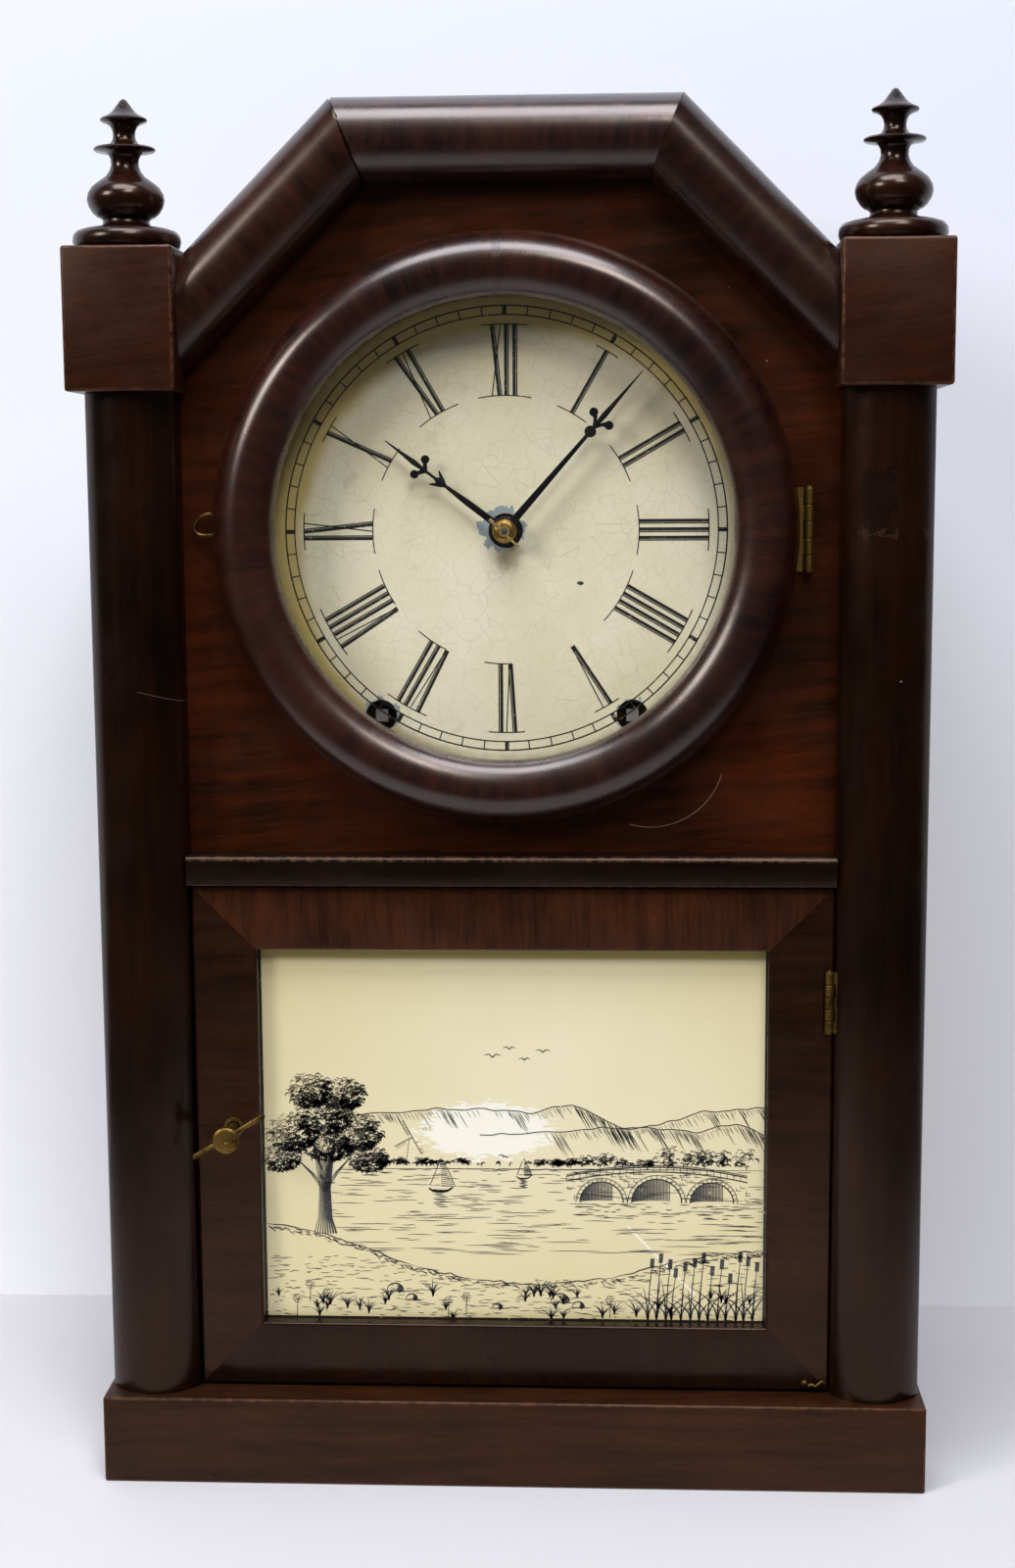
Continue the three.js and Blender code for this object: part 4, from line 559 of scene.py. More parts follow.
wood_door_rail = veneer("door_rail_veneer", "#1f0e07", "#472413", 90, 0.7, 0.6, 0.27, 0.03)
wood_door_rail_low = veneer("door_rail_low_veneer", "#0a0402", "#1d0d06", 90, 0.7, 0.6, 0.24, 0.03)
wood_plinth = veneer("plinth_veneer", "#160904", "#341909", 0, 0.9, 0.5, 0.36, 0.0, 0.5)
wood_side = veneer("side_veneer", "#1f0e07", "#44210f", 90, 0.9, 0.6, 0.4, 0.1, 0.5)
wood_roof = veneer("roof_veneer", "#1f0f08", "#402011", 0, 0.9, 0.6, 0.45, 0.08, 0.6)
wood_finial = veneer("finial_polish", "#080302", "#250d05", 90, 0.6, 1.3, 0.24, 0.25, 0.15, haze=0.16)
wood_pine = veneer("bare_pine", "#7d5a35", "#c39a66", 90, 1.0, 0.5, 0.7, 0.0, 0.6, bump=0.3)
brass_old = metal("old_brass", "#b9924a", "#4b3a1c", 0.5, 0.3)
brass_brown = metal("brown_brass", "#8d6f3a", "#35270f", 0.62, 0.34)
brass_pale = metal("pale_brass", "#dcc283", "#a5874c", 0.2, 0.24)
brass_plate = metal("plate_brass", "#d2ac62", "#9c7a40", 0.25, 0.4, bump=0.03)
steel_dull = metal("dull_steel", "#8d8f92", "#4a443c", 0.4, 0.3)
steel_worn = metal("worn_steel", "#d9dadc", "#8f8b84", 0.2, 0.42)
steel_blued = metal("blued_steel", "#17161a", "#2c211b", 0.35, 0.34, 0.7)
iron_black = metal("black_iron", "#2a2826", "#3a2b22", 0.4, 0.6, 0.3, 0.4)
putty_old = metal("old_putty", "#8f8266", "#4f4433", 0.5, 0.8, 0.0, 0.6)


def ring_veneer():
    """Cross-banded veneer in lengths round the ring, with a dark joint between each two."""
    joints = [314.0, 262.0, 217.0, 130.0, 92.0]

    def joint_lines(n, colour):
        place = n.attribute("round", "Vector")
        along = n.plus(n.parts(place)[1], n.times(n.minus(n.noise(place, 90.0), 0.5), 0.003))
        apart = [n.size(n.minus(along, math.radians(joint) * RING_GIRTH)) for joint in joints]
        lines = n.most([n.spread(a, 0.00012, 0.0004, 1.0, 0.0) for a in apart])
        warm = n.mix(n.attribute("tone", "Fac"), colour, n.mix(0.5, colour, linear("#2c1208")))
        return n.mix(n.times(lines, 0.75), warm, (0.004, 0.002, 0.002, 1))

    return veneer("ring_veneer", "#0d0403", "#30120a", streaks=0.9, patches=0.8, gloss=0.25, coat=0.85,
                  place="round", bump=0.25, after=joint_lines, haze=0.27)


def dial_paint():
    """Cream paint with fine cracks, a painted shadow of the ring in a crescent at the top, painted shade in a band
    under the ring's lip, and stained below the hands' hole.
    """
    material, n, shader = start_material("dial_paint")
    x, _, z = n.parts(object_place(n, 0, (-DIAL_X, -DIAL_FACE, -DIAL_Z)))
    flat = n.flat(x, z)
    cloud = n.noise(flat, 28.0, 4.0, 0.6)
    colour = n.mix(n.spread(cloud, 0.3, 0.7), linear("#d9d0ac"), linear("#e6dfc4"))
    # Painted shadow: the crescent that the ring shades is painted darker and yellower.
    painted_ring_shadow = n.ragged(n.length(flat, (0.0035, 0, -0.006)), flat, 90.0, 3.0, 0.5, 0.5, 0.004)
    colour = n.mix(n.spread(painted_ring_shadow, 0.0610, 0.0665, 0.0, 0.85, smooth=True), colour, linear("#b7a050"))
    # Painted shade: a darker band round the dial's edge, in the gap under the ring's lip.
    rim = n.spread(n.ragged(n.length(flat), flat, 260.0, 3.0, 0.5, 0.0, 0.003), 0.0665, 0.0695)
    colour = n.mix(n.times(rim, 0.5), colour, linear("#7d6a35"))
    # Brown oil stain under the hands' hole.
    drop = n.ragged(n.length(flat, (0.001, 0, -0.0075), (1.2, 0, 1.0)), flat, 420.0, 4.0, 0.5, 0.5, 0.004)
    colour = n.mix(n.spread(drop, 0.0015, 0.0065, 0.6, 0.0, smooth=True), colour, linear("#6b5526"))
    # Cracks: a wide web, and a finer one in places.
    sway = n.add("ShaderNodeTexNoise", inputs={"Vector": flat, "Scale": 120.0}).outputs["Color"]
    bend = n.vector_math("ADD", flat, n.stretch(sway, (0.004, 0.0, 0.004))).outputs[0]
    webs = []
    for scale, width, share in ((170.0, 0.026, 0.26), (330.0, 0.038, 0.18)):
        web = n.add("ShaderNodeTexVoronoi", feature="DISTANCE_TO_EDGE", inputs={"Vector": bend, "Scale": scale})
        line = n.spread(web.outputs["Distance"], 0.0, width, 1.0, 0.0)
        seen = n.spread(n.noise(flat, scale * 0.3), 0.32, 0.56)
        webs.append(n.times(n.times(line, seen), share))
    cracks = n.most(webs)
    colour = n.mix(cracks, colour, linear("#8f835d"))
    # Bare grey metal round the holes.
    holes = ((-0.001, 0.0006, 0.0060), (KEY_ASIDE, -KEY_DROP, 0.0048), (-KEY_ASIDE, -KEY_DROP, 0.0048))
    chipped = n.most([
        n.under(n.ragged(n.length(flat, (cx, 0, cz)), flat, 330.0, 3.0, 0.6, 0.47, -0.009), radius)
        for cx, cz, radius in holes
    ])
    colour = n.mix(chipped, colour, linear("#8d979a"))
    # Small dark specks, and one chip.
    distance, pick = n.cells(flat, 110.0)
    speck = n.times(n.under(distance, 0.03), n.under(pick[1], 0.25))
    colour = n.mix(n.times(speck, 0.5), colour, linear("#5f4a24"))
    chip = n.ragged(n.length(flat, (0.0219, 0, -0.0154), (1.0, 0, 1.7)), flat, 900.0, 2.0, 0.5, 0.0, 0.0008)
    colour = n.mix(n.under(chip, 0.0014), colour, linear("#33302a"))
    n.feed(shader, {"Base Color": colour, "Roughness": n.spread(cloud, 0.3, 0.7, 0.38, 0.52)})
    n.bump(shader, n.minus(n.times(n.noise(flat, 300.0, 3.0), 0.4), n.plus(cracks, chipped)), 0.25, 0.0001)
    return material


def printed_ink(name, ground, coat):
    """Black line work with small gaps where the ground shows through."""
    material, n, shader = start_material(name)
    worn = n.noise(object_place(n), 900.0, 4.0, 0.7)
    gone = n.times(n.spread(worn, 0.62, 0.7), 0.75)
    n.feed(shader, {
        "Base Color": n.mix(gone, linear("#191613"), linear(ground)), "Roughness": n.spread(worn, 0.3, 0.7, 0.35, 0.55),
        "Coat Weight": coat, "Coat Roughness": 0.03,
    })
    return material


def tablet_glass():
    """Glass backed with cream paint: yellower at its edges, with a flaked patch, flecks and a scratch."""
    material, n, shader = start_material("tablet_paint")
    x, _, z = n.parts(object_place(n, 0, tuple(-TABLET_MIDDLE)))
    flat = n.flat(x, z)
    cloud = n.noise(flat, 20.0, 4.0, 0.6)
    glow = n.spread(n.length(flat, (0.01, 0, 0.02), (0.8, 0, 1.3)), 0.01, 0.085, 1.0, 0.0)
    glow = n.plus(glow, n.times(n.minus(cloud, 0.5), 0.8))
    colour = n.mix(n.spread(glow, 0.0, 1.0), linear("#d9cb99"), linear("#e6dcb8"))
    # The rebate's edge keeps the light off a narrow strip at the top.
    top = tablet_high.z - TABLET_MIDDLE.z
    strip = n.spread(z, top - 0.0078, top - 0.0068, smooth=True)
    colour = n.mix(n.times(strip, 0.85), colour, linear("#b09a48"))
    # Flaked patch in the middle, ragged along level lines.
    ragged = n.noise(n.stretch(flat, (220.0, 1.0, 900.0)), 1.0, 4.0, 0.7)
    away = n.length(flat, (-0.008, 0, 0.0015), (1.0, 0, 2.3))
    flaked = n.under(n.plus(away, n.times(n.minus(ragged, 0.5), 0.032)), 0.0195)
    colour = n.mix(n.times(flaked, 0.8), colour, linear("#f6f2e6"))
    distance, pick = n.cells(flat, 70.0)
    near = n.under(n.plus(distance, n.times(ragged, 0.1)), 0.095)
    fleck = n.times(near, n.under(pick[0], 0.12))
    colour = n.mix(n.times(fleck, 0.8), colour, linear("#f7f3e8"))
    spot = n.times(near, n.math("GREATER_THAN", pick[0], 0.88))
    colour = n.mix(n.times(spot, 0.45), colour, linear("#8a7440"))
    # A straight scratch, low on the right.
    away = n.vector_math("SUBTRACT", flat, (0.0445, 0, -0.0385)).outputs[0]
    aside, along = (
        n.size(n.vector_math("DOT_PRODUCT", away, way).outputs["Value"]) for way in ((0.72, 0, 0.69), (0.69, 0, -0.72))
    )
    scratch = n.times(n.under(aside, 0.0004), n.under(along, 0.0145))
    colour = n.mix(n.times(scratch, 0.5), colour, linear("#faf6ea"))
    n.feed(shader, {"Base Color": colour, "Roughness": 0.35, "Coat Weight": 1.0, "Coat Roughness": 0.03})
    return material


def clear_glass():
    """Thin clear glass that shows what is behind it, with only its reflections added."""
    material, n, shader = start_material("clear_glass")
    # Facing is the same from both sides of the pane, so that slanting light still gets out of it.
    facing = n.add("ShaderNodeLayerWeight", inputs={"Blend": 0.5}).outputs["Facing"]
    alpha = n.plus(n.times(n.math("POWER", facing, 4.0), 0.5), 0.025)
    n.feed(shader, {"Metallic": 1.0, "Base Color": (1, 1, 1, 1), "Roughness": 0.02, "Alpha": alpha})
    return material


wood_ring = ring_veneer()
dial_cream = dial_paint()
dial_ink = printed_ink("dial_ink", "#cfc6a2", 0.0)
tablet_ink = printed_ink("tablet_ink", "#d8cca2", 1.0)
tablet_cream = tablet_glass()
glass_clear = clear_glass()


# ---- Case ----


PLINTH_SIDE, PLINTH_FRONT = 0.009, 0.012  # the thickness of its boards, as seen from behind


def build_plinth():
    low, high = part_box("plinth")
    outline = [(low.x, low.y), (high.x, low.y), (high.x, high.y), (high.x - PLINTH_SIDE, high.y)]
    inner = low.y + PLINTH_FRONT
    outline += [(high.x - PLINTH_SIDE, inner), (low.x + PLINTH_SIDE, inner), (low.x + PLINTH_SIDE, high.y)]
    mesh = upright(outline + [(low.x, high.y)], low.z, high.z)
    round_edges(mesh, 0.0007, 3, sharp_edges(mesh, math.radians(30)))
    add_piece(mesh, "plinth_board", "case", wood_plinth, ["plinth"])


COLUMN_EDGE = 0.0079  # the flat side of a half column, behind its rounded face


def build_columns():
    for name in ("column_left", "column_right"):
        low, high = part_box(name)
        edge = high.y - COLUMN_EDGE
        face = half_round(high.x - low.x, edge - low.y, 36)
        section = [(low.x + across, edge - forward) for across, forward in face] + [(high.x, high.y), (low.x, high.y)]
        mesh = upright(section, low.z, high.z)
        add_piece(mesh, f"{name}_veneer", "case", wood_column, [name], 40)


def build_blocks():
    """The corner blocks, each notched behind for the shoulder of the case."""
    seam = board_low.y
    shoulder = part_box("side_board_right")[1]
    for side, name in ((-1, "corner_block_left"), (1, "corner_block_right")):
        low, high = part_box(name)
        inner, outer = sorted((abs(low.x), abs(high.x)))
        outline = [(shoulder.x, low.z), (shoulder.x, shoulder.z), (inner, shoulder.z + shoulder.x - inner)]
        outline += [(inner, high.z), (outer, high.z), (outer, low.z)]
        parts = [block(low, (high.x, seam, high.z)), slab([(side * x, z) for x, z in outline], seam, high.y)]
        for mesh in parts:
            at_seam = edges_at(mesh.edges, 1, seam)
            round_edges(mesh, 0.0009, 3, [e for e in sharp_edges(mesh, 0.5) if e not in at_seam])
        add_piece(join_meshes(*parts), f"{name}_veneer", "case", wood_block, [name])


# The outline of a finial in millimetres, as (radius, height).
FINIAL = [
    (0, 0), (13.9, 0), (15.0, 0.7), (15.4, 2.2), (15.2, 3.8), (14.2, 5.0), (12.0, 5.7), (9.4, 5.9), (7.6, 6.3),
    (6.7, 7.2), (6.6, 8.2), (7.4, 8.9), (8.3, 9.2), (9.4, 10.2), (10.5, 11.9), (11.0, 13.8), (10.7, 15.6),
    (9.6, 17.4), (7.6, 19.0), (5.6, 20.4), (4.4, 22.0), (3.9, 23.6), (4.0, 25.2), (4.6, 26.4), (5.4, 27.0),
    (8.4, 27.4), (8.8, 27.9), (8.4, 28.4), (5.4, 28.9), (4.1, 29.5), (3.3, 30.6), (3.1, 31.8), (3.3, 33.2),
    (3.9, 34.4), (5.0, 35.1), (6.4, 35.6), (6.7, 36.1), (6.3, 36.6), (5.0, 37.1), (3.4, 38.2), (2.0, 40.0),
    (0.9, 41.5), (0, 42),
]


def build_finials():
    for name in ("finial_left", "finial_right"):
        low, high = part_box(name)
        centre = (low + high) / 2
        scale = (high.z - low.z) / FINIAL[-1][1]
        profile = [(r * scale, h * scale) for r, h in FINIAL]
        mesh = lathe(profile, (centre.x, centre.y, low.z), (0, 0, 1))
        add_piece(mesh, f"{name}_turned", "case", wood_finial, [name], 50)


def crown_corner():
    """The outer and inner mitre points of the octagon, on its right side."""
    low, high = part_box("crown_moulding_top")
    return (high.x, high.z), (high.x - (high.z - low.z) * math.tan(math.pi / 8), low.z)


def mirrored(pair):
    return tuple((-x, z) for x, z in pair)


def open_joint(t, across, y):
    """How far the end at the open joint is broken away."""
    if t > 0.001:
        return 0.0
    return 0.00015 + 0.0009 * abs(noise.noise(Vector((across * 9.0, y * 900.0, 3.0))))


def build_crown():
    corner = crown_corner()
    foot_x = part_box("crown_moulding_right")[1].x
    foot = tuple((foot_x, z - (foot_x - x)) for x, z in corner)
    band = corner[0][1] - corner[1][1]
    low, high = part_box("crown_moulding_top")
    edge = high.y - 0.0012  # the small square edge beside the half round
    section = [(1, high.y), (0, high.y)]
    section += [(across / band, edge - forward) for across, forward in half_round(band, edge - low.y, 32)]
    for side, start, end, material, ragged in (
        ("top", mirrored(corner), corner, wood_crown_top, open_joint),
        ("right", foot, corner, wood_crown_right, None),
        ("left", mirrored(corner), mirrored(foot), wood_crown_left, open_joint),
    ):
        mesh = mitred_strip(start, end, section, 48, ragged=ragged)
        add_piece(mesh, f"crown_{side}_veneer", "case", material, [f"crown_moulding_{side}"], 40)
    # A dark strip, a little sunken, is set in the open joint as painted shade deep in the crack.
    half, sunk = 0.0012, 0.93
    start, end = ([(shift - x, z) for x, z in corner] for shift in (-half, half))
    middle = (section[0][1] + section[len(section) // 2][1]) / 2
    section = [(0.5 + (share - 0.5) * sunk, middle + (y - middle) * sunk) for share, y in section]
    add_piece(mitred_strip(start, end, section, 2), "crown_joint_shade_strip", "case", wood_rail)


RAIL_OVER_BOARD = 0.0042
ROOF_INSIDE = 0.0081  # from the crown's outer face to the board's slope


def build_front_board():
    """The veneered board behind the ring, with a leg down each side of the doorway."""
    low, high = board_low, board_high
    outer = crown_corner()[0]
    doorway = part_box("column_right")[0].x
    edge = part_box("shelf_rail")[1].z - RAIL_OVER_BOARD
    slope = outer[1] + outer[0] - ROOF_INSIDE * math.sqrt(2)
    right = [(doorway, edge), (doorway, low.z), (high.x, low.z), (high.x, slope - high.x), (slope - high.z, high.z)]
    outline = [(-x, z) for x, z in reversed(right)] + right
    mesh = slab(outline, low.y, high.y, holes=[(DIAL_X, DIAL_Z, DIAL_RADIUS - 0.003, 128)])
    add_piece(mesh, "front_board_veneer", "case", wood_panel, ["front_board"])


def build_rail():
    low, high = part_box("shelf_rail")
    mesh = block(low, high)
    for z, width, segments in ((high.z, 0.0014, 4), (low.z, 0.0004, 2)):
        round_edges(mesh, width, segments, edges_at(edges_at(mesh.edges, 1, low.y), 2, z))
    add_piece(mesh, "shelf_rail_veneer", "case", wood_rail, ["shelf_rail"])


# ---- Upper door ----


def build_ring():
    """The turned ring, with its own measure round and across it for the veneer."""
    back, rise = ring_high.y, ring_high.y - ring_low.y
    opening = RING_RADIUS - 0.019
    crest = opening + 0.0095
    rebate = opening + 0.004
    lip = 0.0074
    foot = lip / 6
    inner = [math.pi / 2 * i / 14 for i in range(15)]
    outer = [math.pi / 2 * i / 18 for i in range(17, -1, -1)]
    profile = [(rebate, 0), (rebate, -0.005), (opening, -0.005)]
    profile += [(crest - (crest - opening) * math.cos(a), -lip - (rise - lip) * math.sin(a)) for a in inner]
    profile += [
        (RING_RADIUS - (RING_RADIUS - crest) * (1 - math.cos(a)), -foot - (rise - foot) * math.sin(a)) for a in outer
    ]
    profile += [(RING_RADIUS, 0), (rebate, 0)]
    mesh = lathe(profile, (DIAL_X, back, DIAL_Z), steps=180)
    place = mesh.verts.layers.float_vector.new("round")
    tone = mesh.faces.layers.float.new("tone")

    def bearing(point):
        return math.atan2(point.x - DIAL_X, point.z - DIAL_Z) % (2 * math.pi)

    for v in mesh.verts:
        across = math.hypot(v.co.x - DIAL_X, v.co.z - DIAL_Z)
        v[place] = Vector((across, bearing(v.co) * RING_GIRTH, v.co.y))
    for f in mesh.faces:
        angle = math.degrees(bearing(f.calc_center_median()))
        f[tone] = 0.85 if 217 < angle < 262 else 0.25 if 130 < angle < 217 else 0.0
    add_piece(mesh, "bezel_ring_veneer", "bezel_door", wood_ring, ["bezel_ring"], 40)


def build_bezel_glass():
    low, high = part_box("bezel_glass")
    mesh = disc(DIAL_X, DIAL_Z, (high.x - low.x) / 2, low.y, high.y, 96)
    add_piece(mesh, "bezel_glass_pane", "bezel_door", glass_clear, ["bezel_glass"])


# ---- Dial and hands ----


def dial_point(angle, radius, side=0.0):
    """A point on the dial at an angle in degrees past twelve, a radius, and a step aside, clockwise."""
    a = math.radians(angle)
    x = DIAL_X + radius * math.sin(a) + side * math.cos(a)
    z = DIAL_Z + radius * math.cos(a) - side * math.sin(a)
    return x, z


def line_work(strokes, y, depth=0.00003):
    """Thin flat lines, each a list of (x, z) points with a width or a width at each point, facing the front."""
    mesh = bmesh.new()
    aside = mesh.verts.layers.float_vector.new("aside")
    for points, width in strokes:
        rail = []
        last = len(points) - 1
        for i, (x, z) in enumerate(points):
            x0, z0 = points[max(i - 1, 0)]
            x1, z1 = points[min(i + 1, last)]
            length = math.hypot(x1 - x0, z1 - z0) or 1.0
            full = width[i] if isinstance(width, (list, tuple)) else width
            across = Vector((-(z1 - z0) / length, 0, (x1 - x0) / length)) * full
            v = mesh.verts.new(Vector((x, y, z)) - across / 2)
            v[aside] = across
            rail.append(v)
        for pair in zip(rail, rail[1:]):
            mesh.edges.new(pair)
    made = bmesh.ops.extrude_edge_only(mesh, edges=list(mesh.edges))
    for v in made["geom"]:
        if isinstance(v, bmesh.types.BMVert):
            v.co += v[aside]
    push(mesh, mesh.faces, (0, depth, 0))
    return mesh


NUMERALS = ["XII", "I", "II", "III", "IIII", "V", "VI", "VII", "VIII", "IX", "X", "XI"]
LETTER_WIDTH = {"I": 2.45, "V": 3.5, "X": 3.6}
NUMERAL_TOP, NUMERAL_FOOT = 59.4, 39.05
TRACK_OUT, TRACK_IN = 64.7, 62.1


def build_dial():
    holes = [(DIAL_X, DIAL_Z, 0.005, 48)]
    for low, high in (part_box("time_winding_arbor"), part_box("strike_winding_arbor")):
        holes.append(((low.x + high.x) / 2, DIAL_Z - KEY_DROP, 0.00465, 48))
    mesh = slab([dial_point(i * 3, DIAL_RADIUS) for i in range(120)], dial_low.y, dial_high.y, 0.00012, 1, holes)
    add_piece(mesh, "dial_sheet", "case", dial_cream, ["dial"])


def numeral_stroke(angle, top, foot, thick):
    """A thin stroke, or a thick one with a hairline of bare paint in it, between two (side, radius) places."""
    lines = ((-0.3, 0.92), (0.46, 0.36)) if thick else ((0, 0.34),)
    return [
        ([dial_point(angle, r * MM, (side + shift) * MM) for side, r in (foot, top)], width * MM)
        for shift, width in lines
    ]


def arc(radius, start, end, width, step=1.5):
    count = max(2, int(abs(end - start) / step) + 1)
    points = [dial_point(start + (end - start) * i / (count - 1), radius * MM) for i in range(count)]
    return points, width * MM


def numeral_strokes(numeral, angle):
    """The strokes of a Roman numeral that stands on the dial's middle, with its serifs."""
    strokes = []
    width = sum(LETTER_WIDTH[c] for c in numeral)
    side = -width / 2
    for letter in numeral:
        w = LETTER_WIDTH[letter]
        middle = side + w / 2
        thick, thin = {
            "I": ((0, 0), None),
            "V": ((-w * 0.34, 0.1), (w * 0.36, 0.3)),
            "X": ((-w * 0.3, w * 0.3), (w * 0.34, -w * 0.34)),
        }[letter]
        for lean, heavy in ((thick, True), (thin, False)):
            if lean:
                top, foot = (middle + lean[0], NUMERAL_TOP), (middle + lean[1], NUMERAL_FOOT)
                strokes += numeral_stroke(angle, top, foot, heavy)
        side += w
    reach = width / 2 + 2.4
    turn = math.degrees(reach / NUMERAL_TOP)
    strokes.append(arc(NUMERAL_TOP, angle - turn, angle + turn, 0.34))
    if numeral != "V":
        turn = math.degrees((reach + 1.2) / NUMERAL_FOOT)
        left = turn * (0.25 if numeral.startswith("V") else 1)
        strokes.append(arc(NUMERAL_FOOT, angle - left, angle + turn, 0.32))
    return strokes


def build_dial_marks():
    strokes = [arc(TRACK_OUT, 0, 360, 0.42, 2), arc(TRACK_IN, 0, 360, 0.36, 2)]
    for minute in range(60):
        marks = ((-0.5, 0.36), (0.12, 0.8)) if minute % 5 == 0 else ((0, 0.36),)
        for side, width in marks:
            ends = [dial_point(minute * 6, r * MM, side * MM) for r in (TRACK_IN, TRACK_OUT)]
            strokes.append((ends, width * MM))
    for hour, numeral in enumerate(NUMERALS):
        strokes += numeral_strokes(numeral, hour * 30)
    add_piece(line_work(strokes, DIAL_FACE - 0.00004), "dial_numerals", "case", dial_ink)


def disc(x, z, radius, front, back, steps=24):
    return lathe([(0, front), (radius, front), (radius, back), (0, back)], (x, 0, z), steps=steps)


def lobed_arm(side, root, out, at):
    """The curved arm that ties a lobe to the blade, as an outline."""
    return [(0, root + 0.6), (side * out * 0.55, at - 1.6), (side * (out + 0.2), at - 0.4),
            (side * (out - 0.5), at + 0.7), (side * out * 0.4, at - 0.4), (0, root + 2.4)]


def build_hand(node, body, blade, boss, lobe, root, collet, bore, turn):
    """A hand cut from thin steel: a blade with a boss and two lobes on arms, on a collet with its hole."""
    low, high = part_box(node)
    front, back = low.y, high.y
    out, at, size = lobe

    def cut(outline, inset=0.0, *edge):
        return slab([(x * MM, z * MM) for x, z in outline], front + inset, back - inset, *edge)

    parts = [cut(blade, 0.0, 0.00012, 2)]
    for x, z, radius in ((-out, at, size), (out, at, size), *boss):
        parts.append(disc(x * MM, z * MM, radius * MM, front - 0.00002, back + 0.00002))
    parts.append(lathe(
        [(bore, front - 0.0001), (collet * 0.82, front - 0.0001), (collet, front + 0.0002), (collet, back + 0.0001),
         (bore, back + 0.0001), (bore, front - 0.0001)], (0, 0, 0), steps=40))
    arms = [cut(lobed_arm(side, root, out, at), 0.00004) for side in (-1, 1)]
    matrix = Matrix.Translation((DIAL_X, 0, DIAL_Z)) @ Matrix.Rotation(math.radians(turn), 4, "Y")
    for mesh, name, replaced in (
        (join_meshes(*parts), f"{node}_blade", [node]), (join_meshes(*arms), f"{node}_arms", ()),
    ):
        bmesh.ops.transform(mesh, matrix=matrix, verts=mesh.verts)
        add_piece(mesh, name, body, steel_blued, replaced)


def build_hands():
    left = [(-1.15, 3), (-0.55, 36.5), (-0.55, 39), (-0.85, 44), (-0.55, 49), (-0.12, 60.3)]
    minute = left + [(-x, z) for x, z in reversed(left)]
    right = [(1.0, 4), (0.95, 14), (0.5, 21.6), (1.3, 22.9), (2.6, 25.7), (2.2, 25.8), (0.9, 24.5), (0.42, 25.4),
             (0.42, 29), (0.85, 33), (0.5, 37), (0.12, 43.5)]
    hour = [(-x, z) for x, z in right] + right[::-1]
    boss = [(0, 37.7, 1.7)]
    build_hand("minute_hand", "centre", minute, boss, (2.9, 42.5, 1.3), 37.7, 0.0030, 0.00185, 41.3)
    build_hand("hour_hand", "hour", hour, [], (2.65, 30.9, 1.25), 27.5, 0.0043, 0.0032, -53)


def build_hand_washer():
    """The brass washer and the taper pin that hold the minute hand, and the end of their arbor."""
    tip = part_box("centre_wheel")[0].y
    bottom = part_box("minute_hand")[0].y - 0.0002
    top = bottom - 0.0011
    washer = lathe(
        [(0.0017, bottom), (0.0035, bottom), (0.0033, bottom - 0.0004), (0.0022, top), (0.0017, top), (0.0017, bottom)],
        (DIAL_X, 0, DIAL_Z), steps=40)
    add_piece(washer, "hand_washer", "centre", brass_old)
    pin = bmesh.new()
    bmesh.ops.create_cone(pin, cap_ends=True, segments=12, radius1=0.0003, radius2=0.0005, depth=0.0118)
    place = Matrix.Translation((DIAL_X, (tip + top) / 2, DIAL_Z - 0.0006))
    bmesh.ops.transform(pin, matrix=place @ Matrix.Rotation(math.radians(-46.5), 4, "Y"), verts=pin.verts)
    add_piece(pin, "hand_taper_pin", "centre", brass_pale)
    profile = [(0, -0.05), (0.9, -0.02), (1.45, 0.12), (1.68, 0.4), (1.68, 1.2), (0, 1.2)]
    cap = turned(profile, (DIAL_X, tip, DIAL_Z), steps=24)
    add_piece(cap, "centre_arbor_end", "centre", steel_dull)


# ---- Lower door ----


def dress(name, material):
    """Gives a CAD node a finer material."""
    data = nodes[name].data
    data.materials.clear()
    data.materials.append(material)


def door_corners():
    """The mitre points of the lower door's frame, from the lower left, each as an (outer, inner) pair."""
    low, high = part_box("door_stile_left")[0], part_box("door_stile_right")[1]
    return [
        ((x, z), (x + across * DOOR_FRAME, z + up * DOOR_FRAME))
        for x, z, across, up in ((low.x, low.z, 1, 1), (high.x, low.z, -1, 1), (high.x, high.z, -1, -1),
                                 (low.x, high.z, 1, -1))
    ]


def build_door():
    """The rails of the lower door, mitred at their ends, between its stiles."""
    face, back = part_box("door_stile_left")[0].y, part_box("door_stile_right")[1].y
    ease = 0.0007
    curve = [(ease * (1 - math.cos(a)), face + ease * (1 - math.sin(a))) for a in (0.0, 0.4, 0.8, 1.2, math.pi / 2)]
    section = [(0, back)] + curve + [(DOOR_FRAME - a, y) for a, y in reversed(curve)]
    section += [(DOOR_FRAME, face + 0.005), (DOOR_REBATE, face + 0.005), (DOOR_REBATE, back)]
    section = [(across / DOOR_FRAME, y) for across, y in section]
    low_left, low_right, high_right, high_left = door_corners()
    for name, start, end, material in (
        ("door_rail_top", high_left, high_right, wood_door_rail),
        ("door_rail_bottom", low_left, low_right, wood_door_rail_low),
    ):
        mesh = mitred_strip(start, end, section, 24)
        add_piece(mesh, f"{name}_veneer", "lower_door", material, [name], 40)
    for name in ("door_stile_left", "door_stile_right"):
        dress(name, wood_stile)
    dress("door_tablet", tablet_cream)


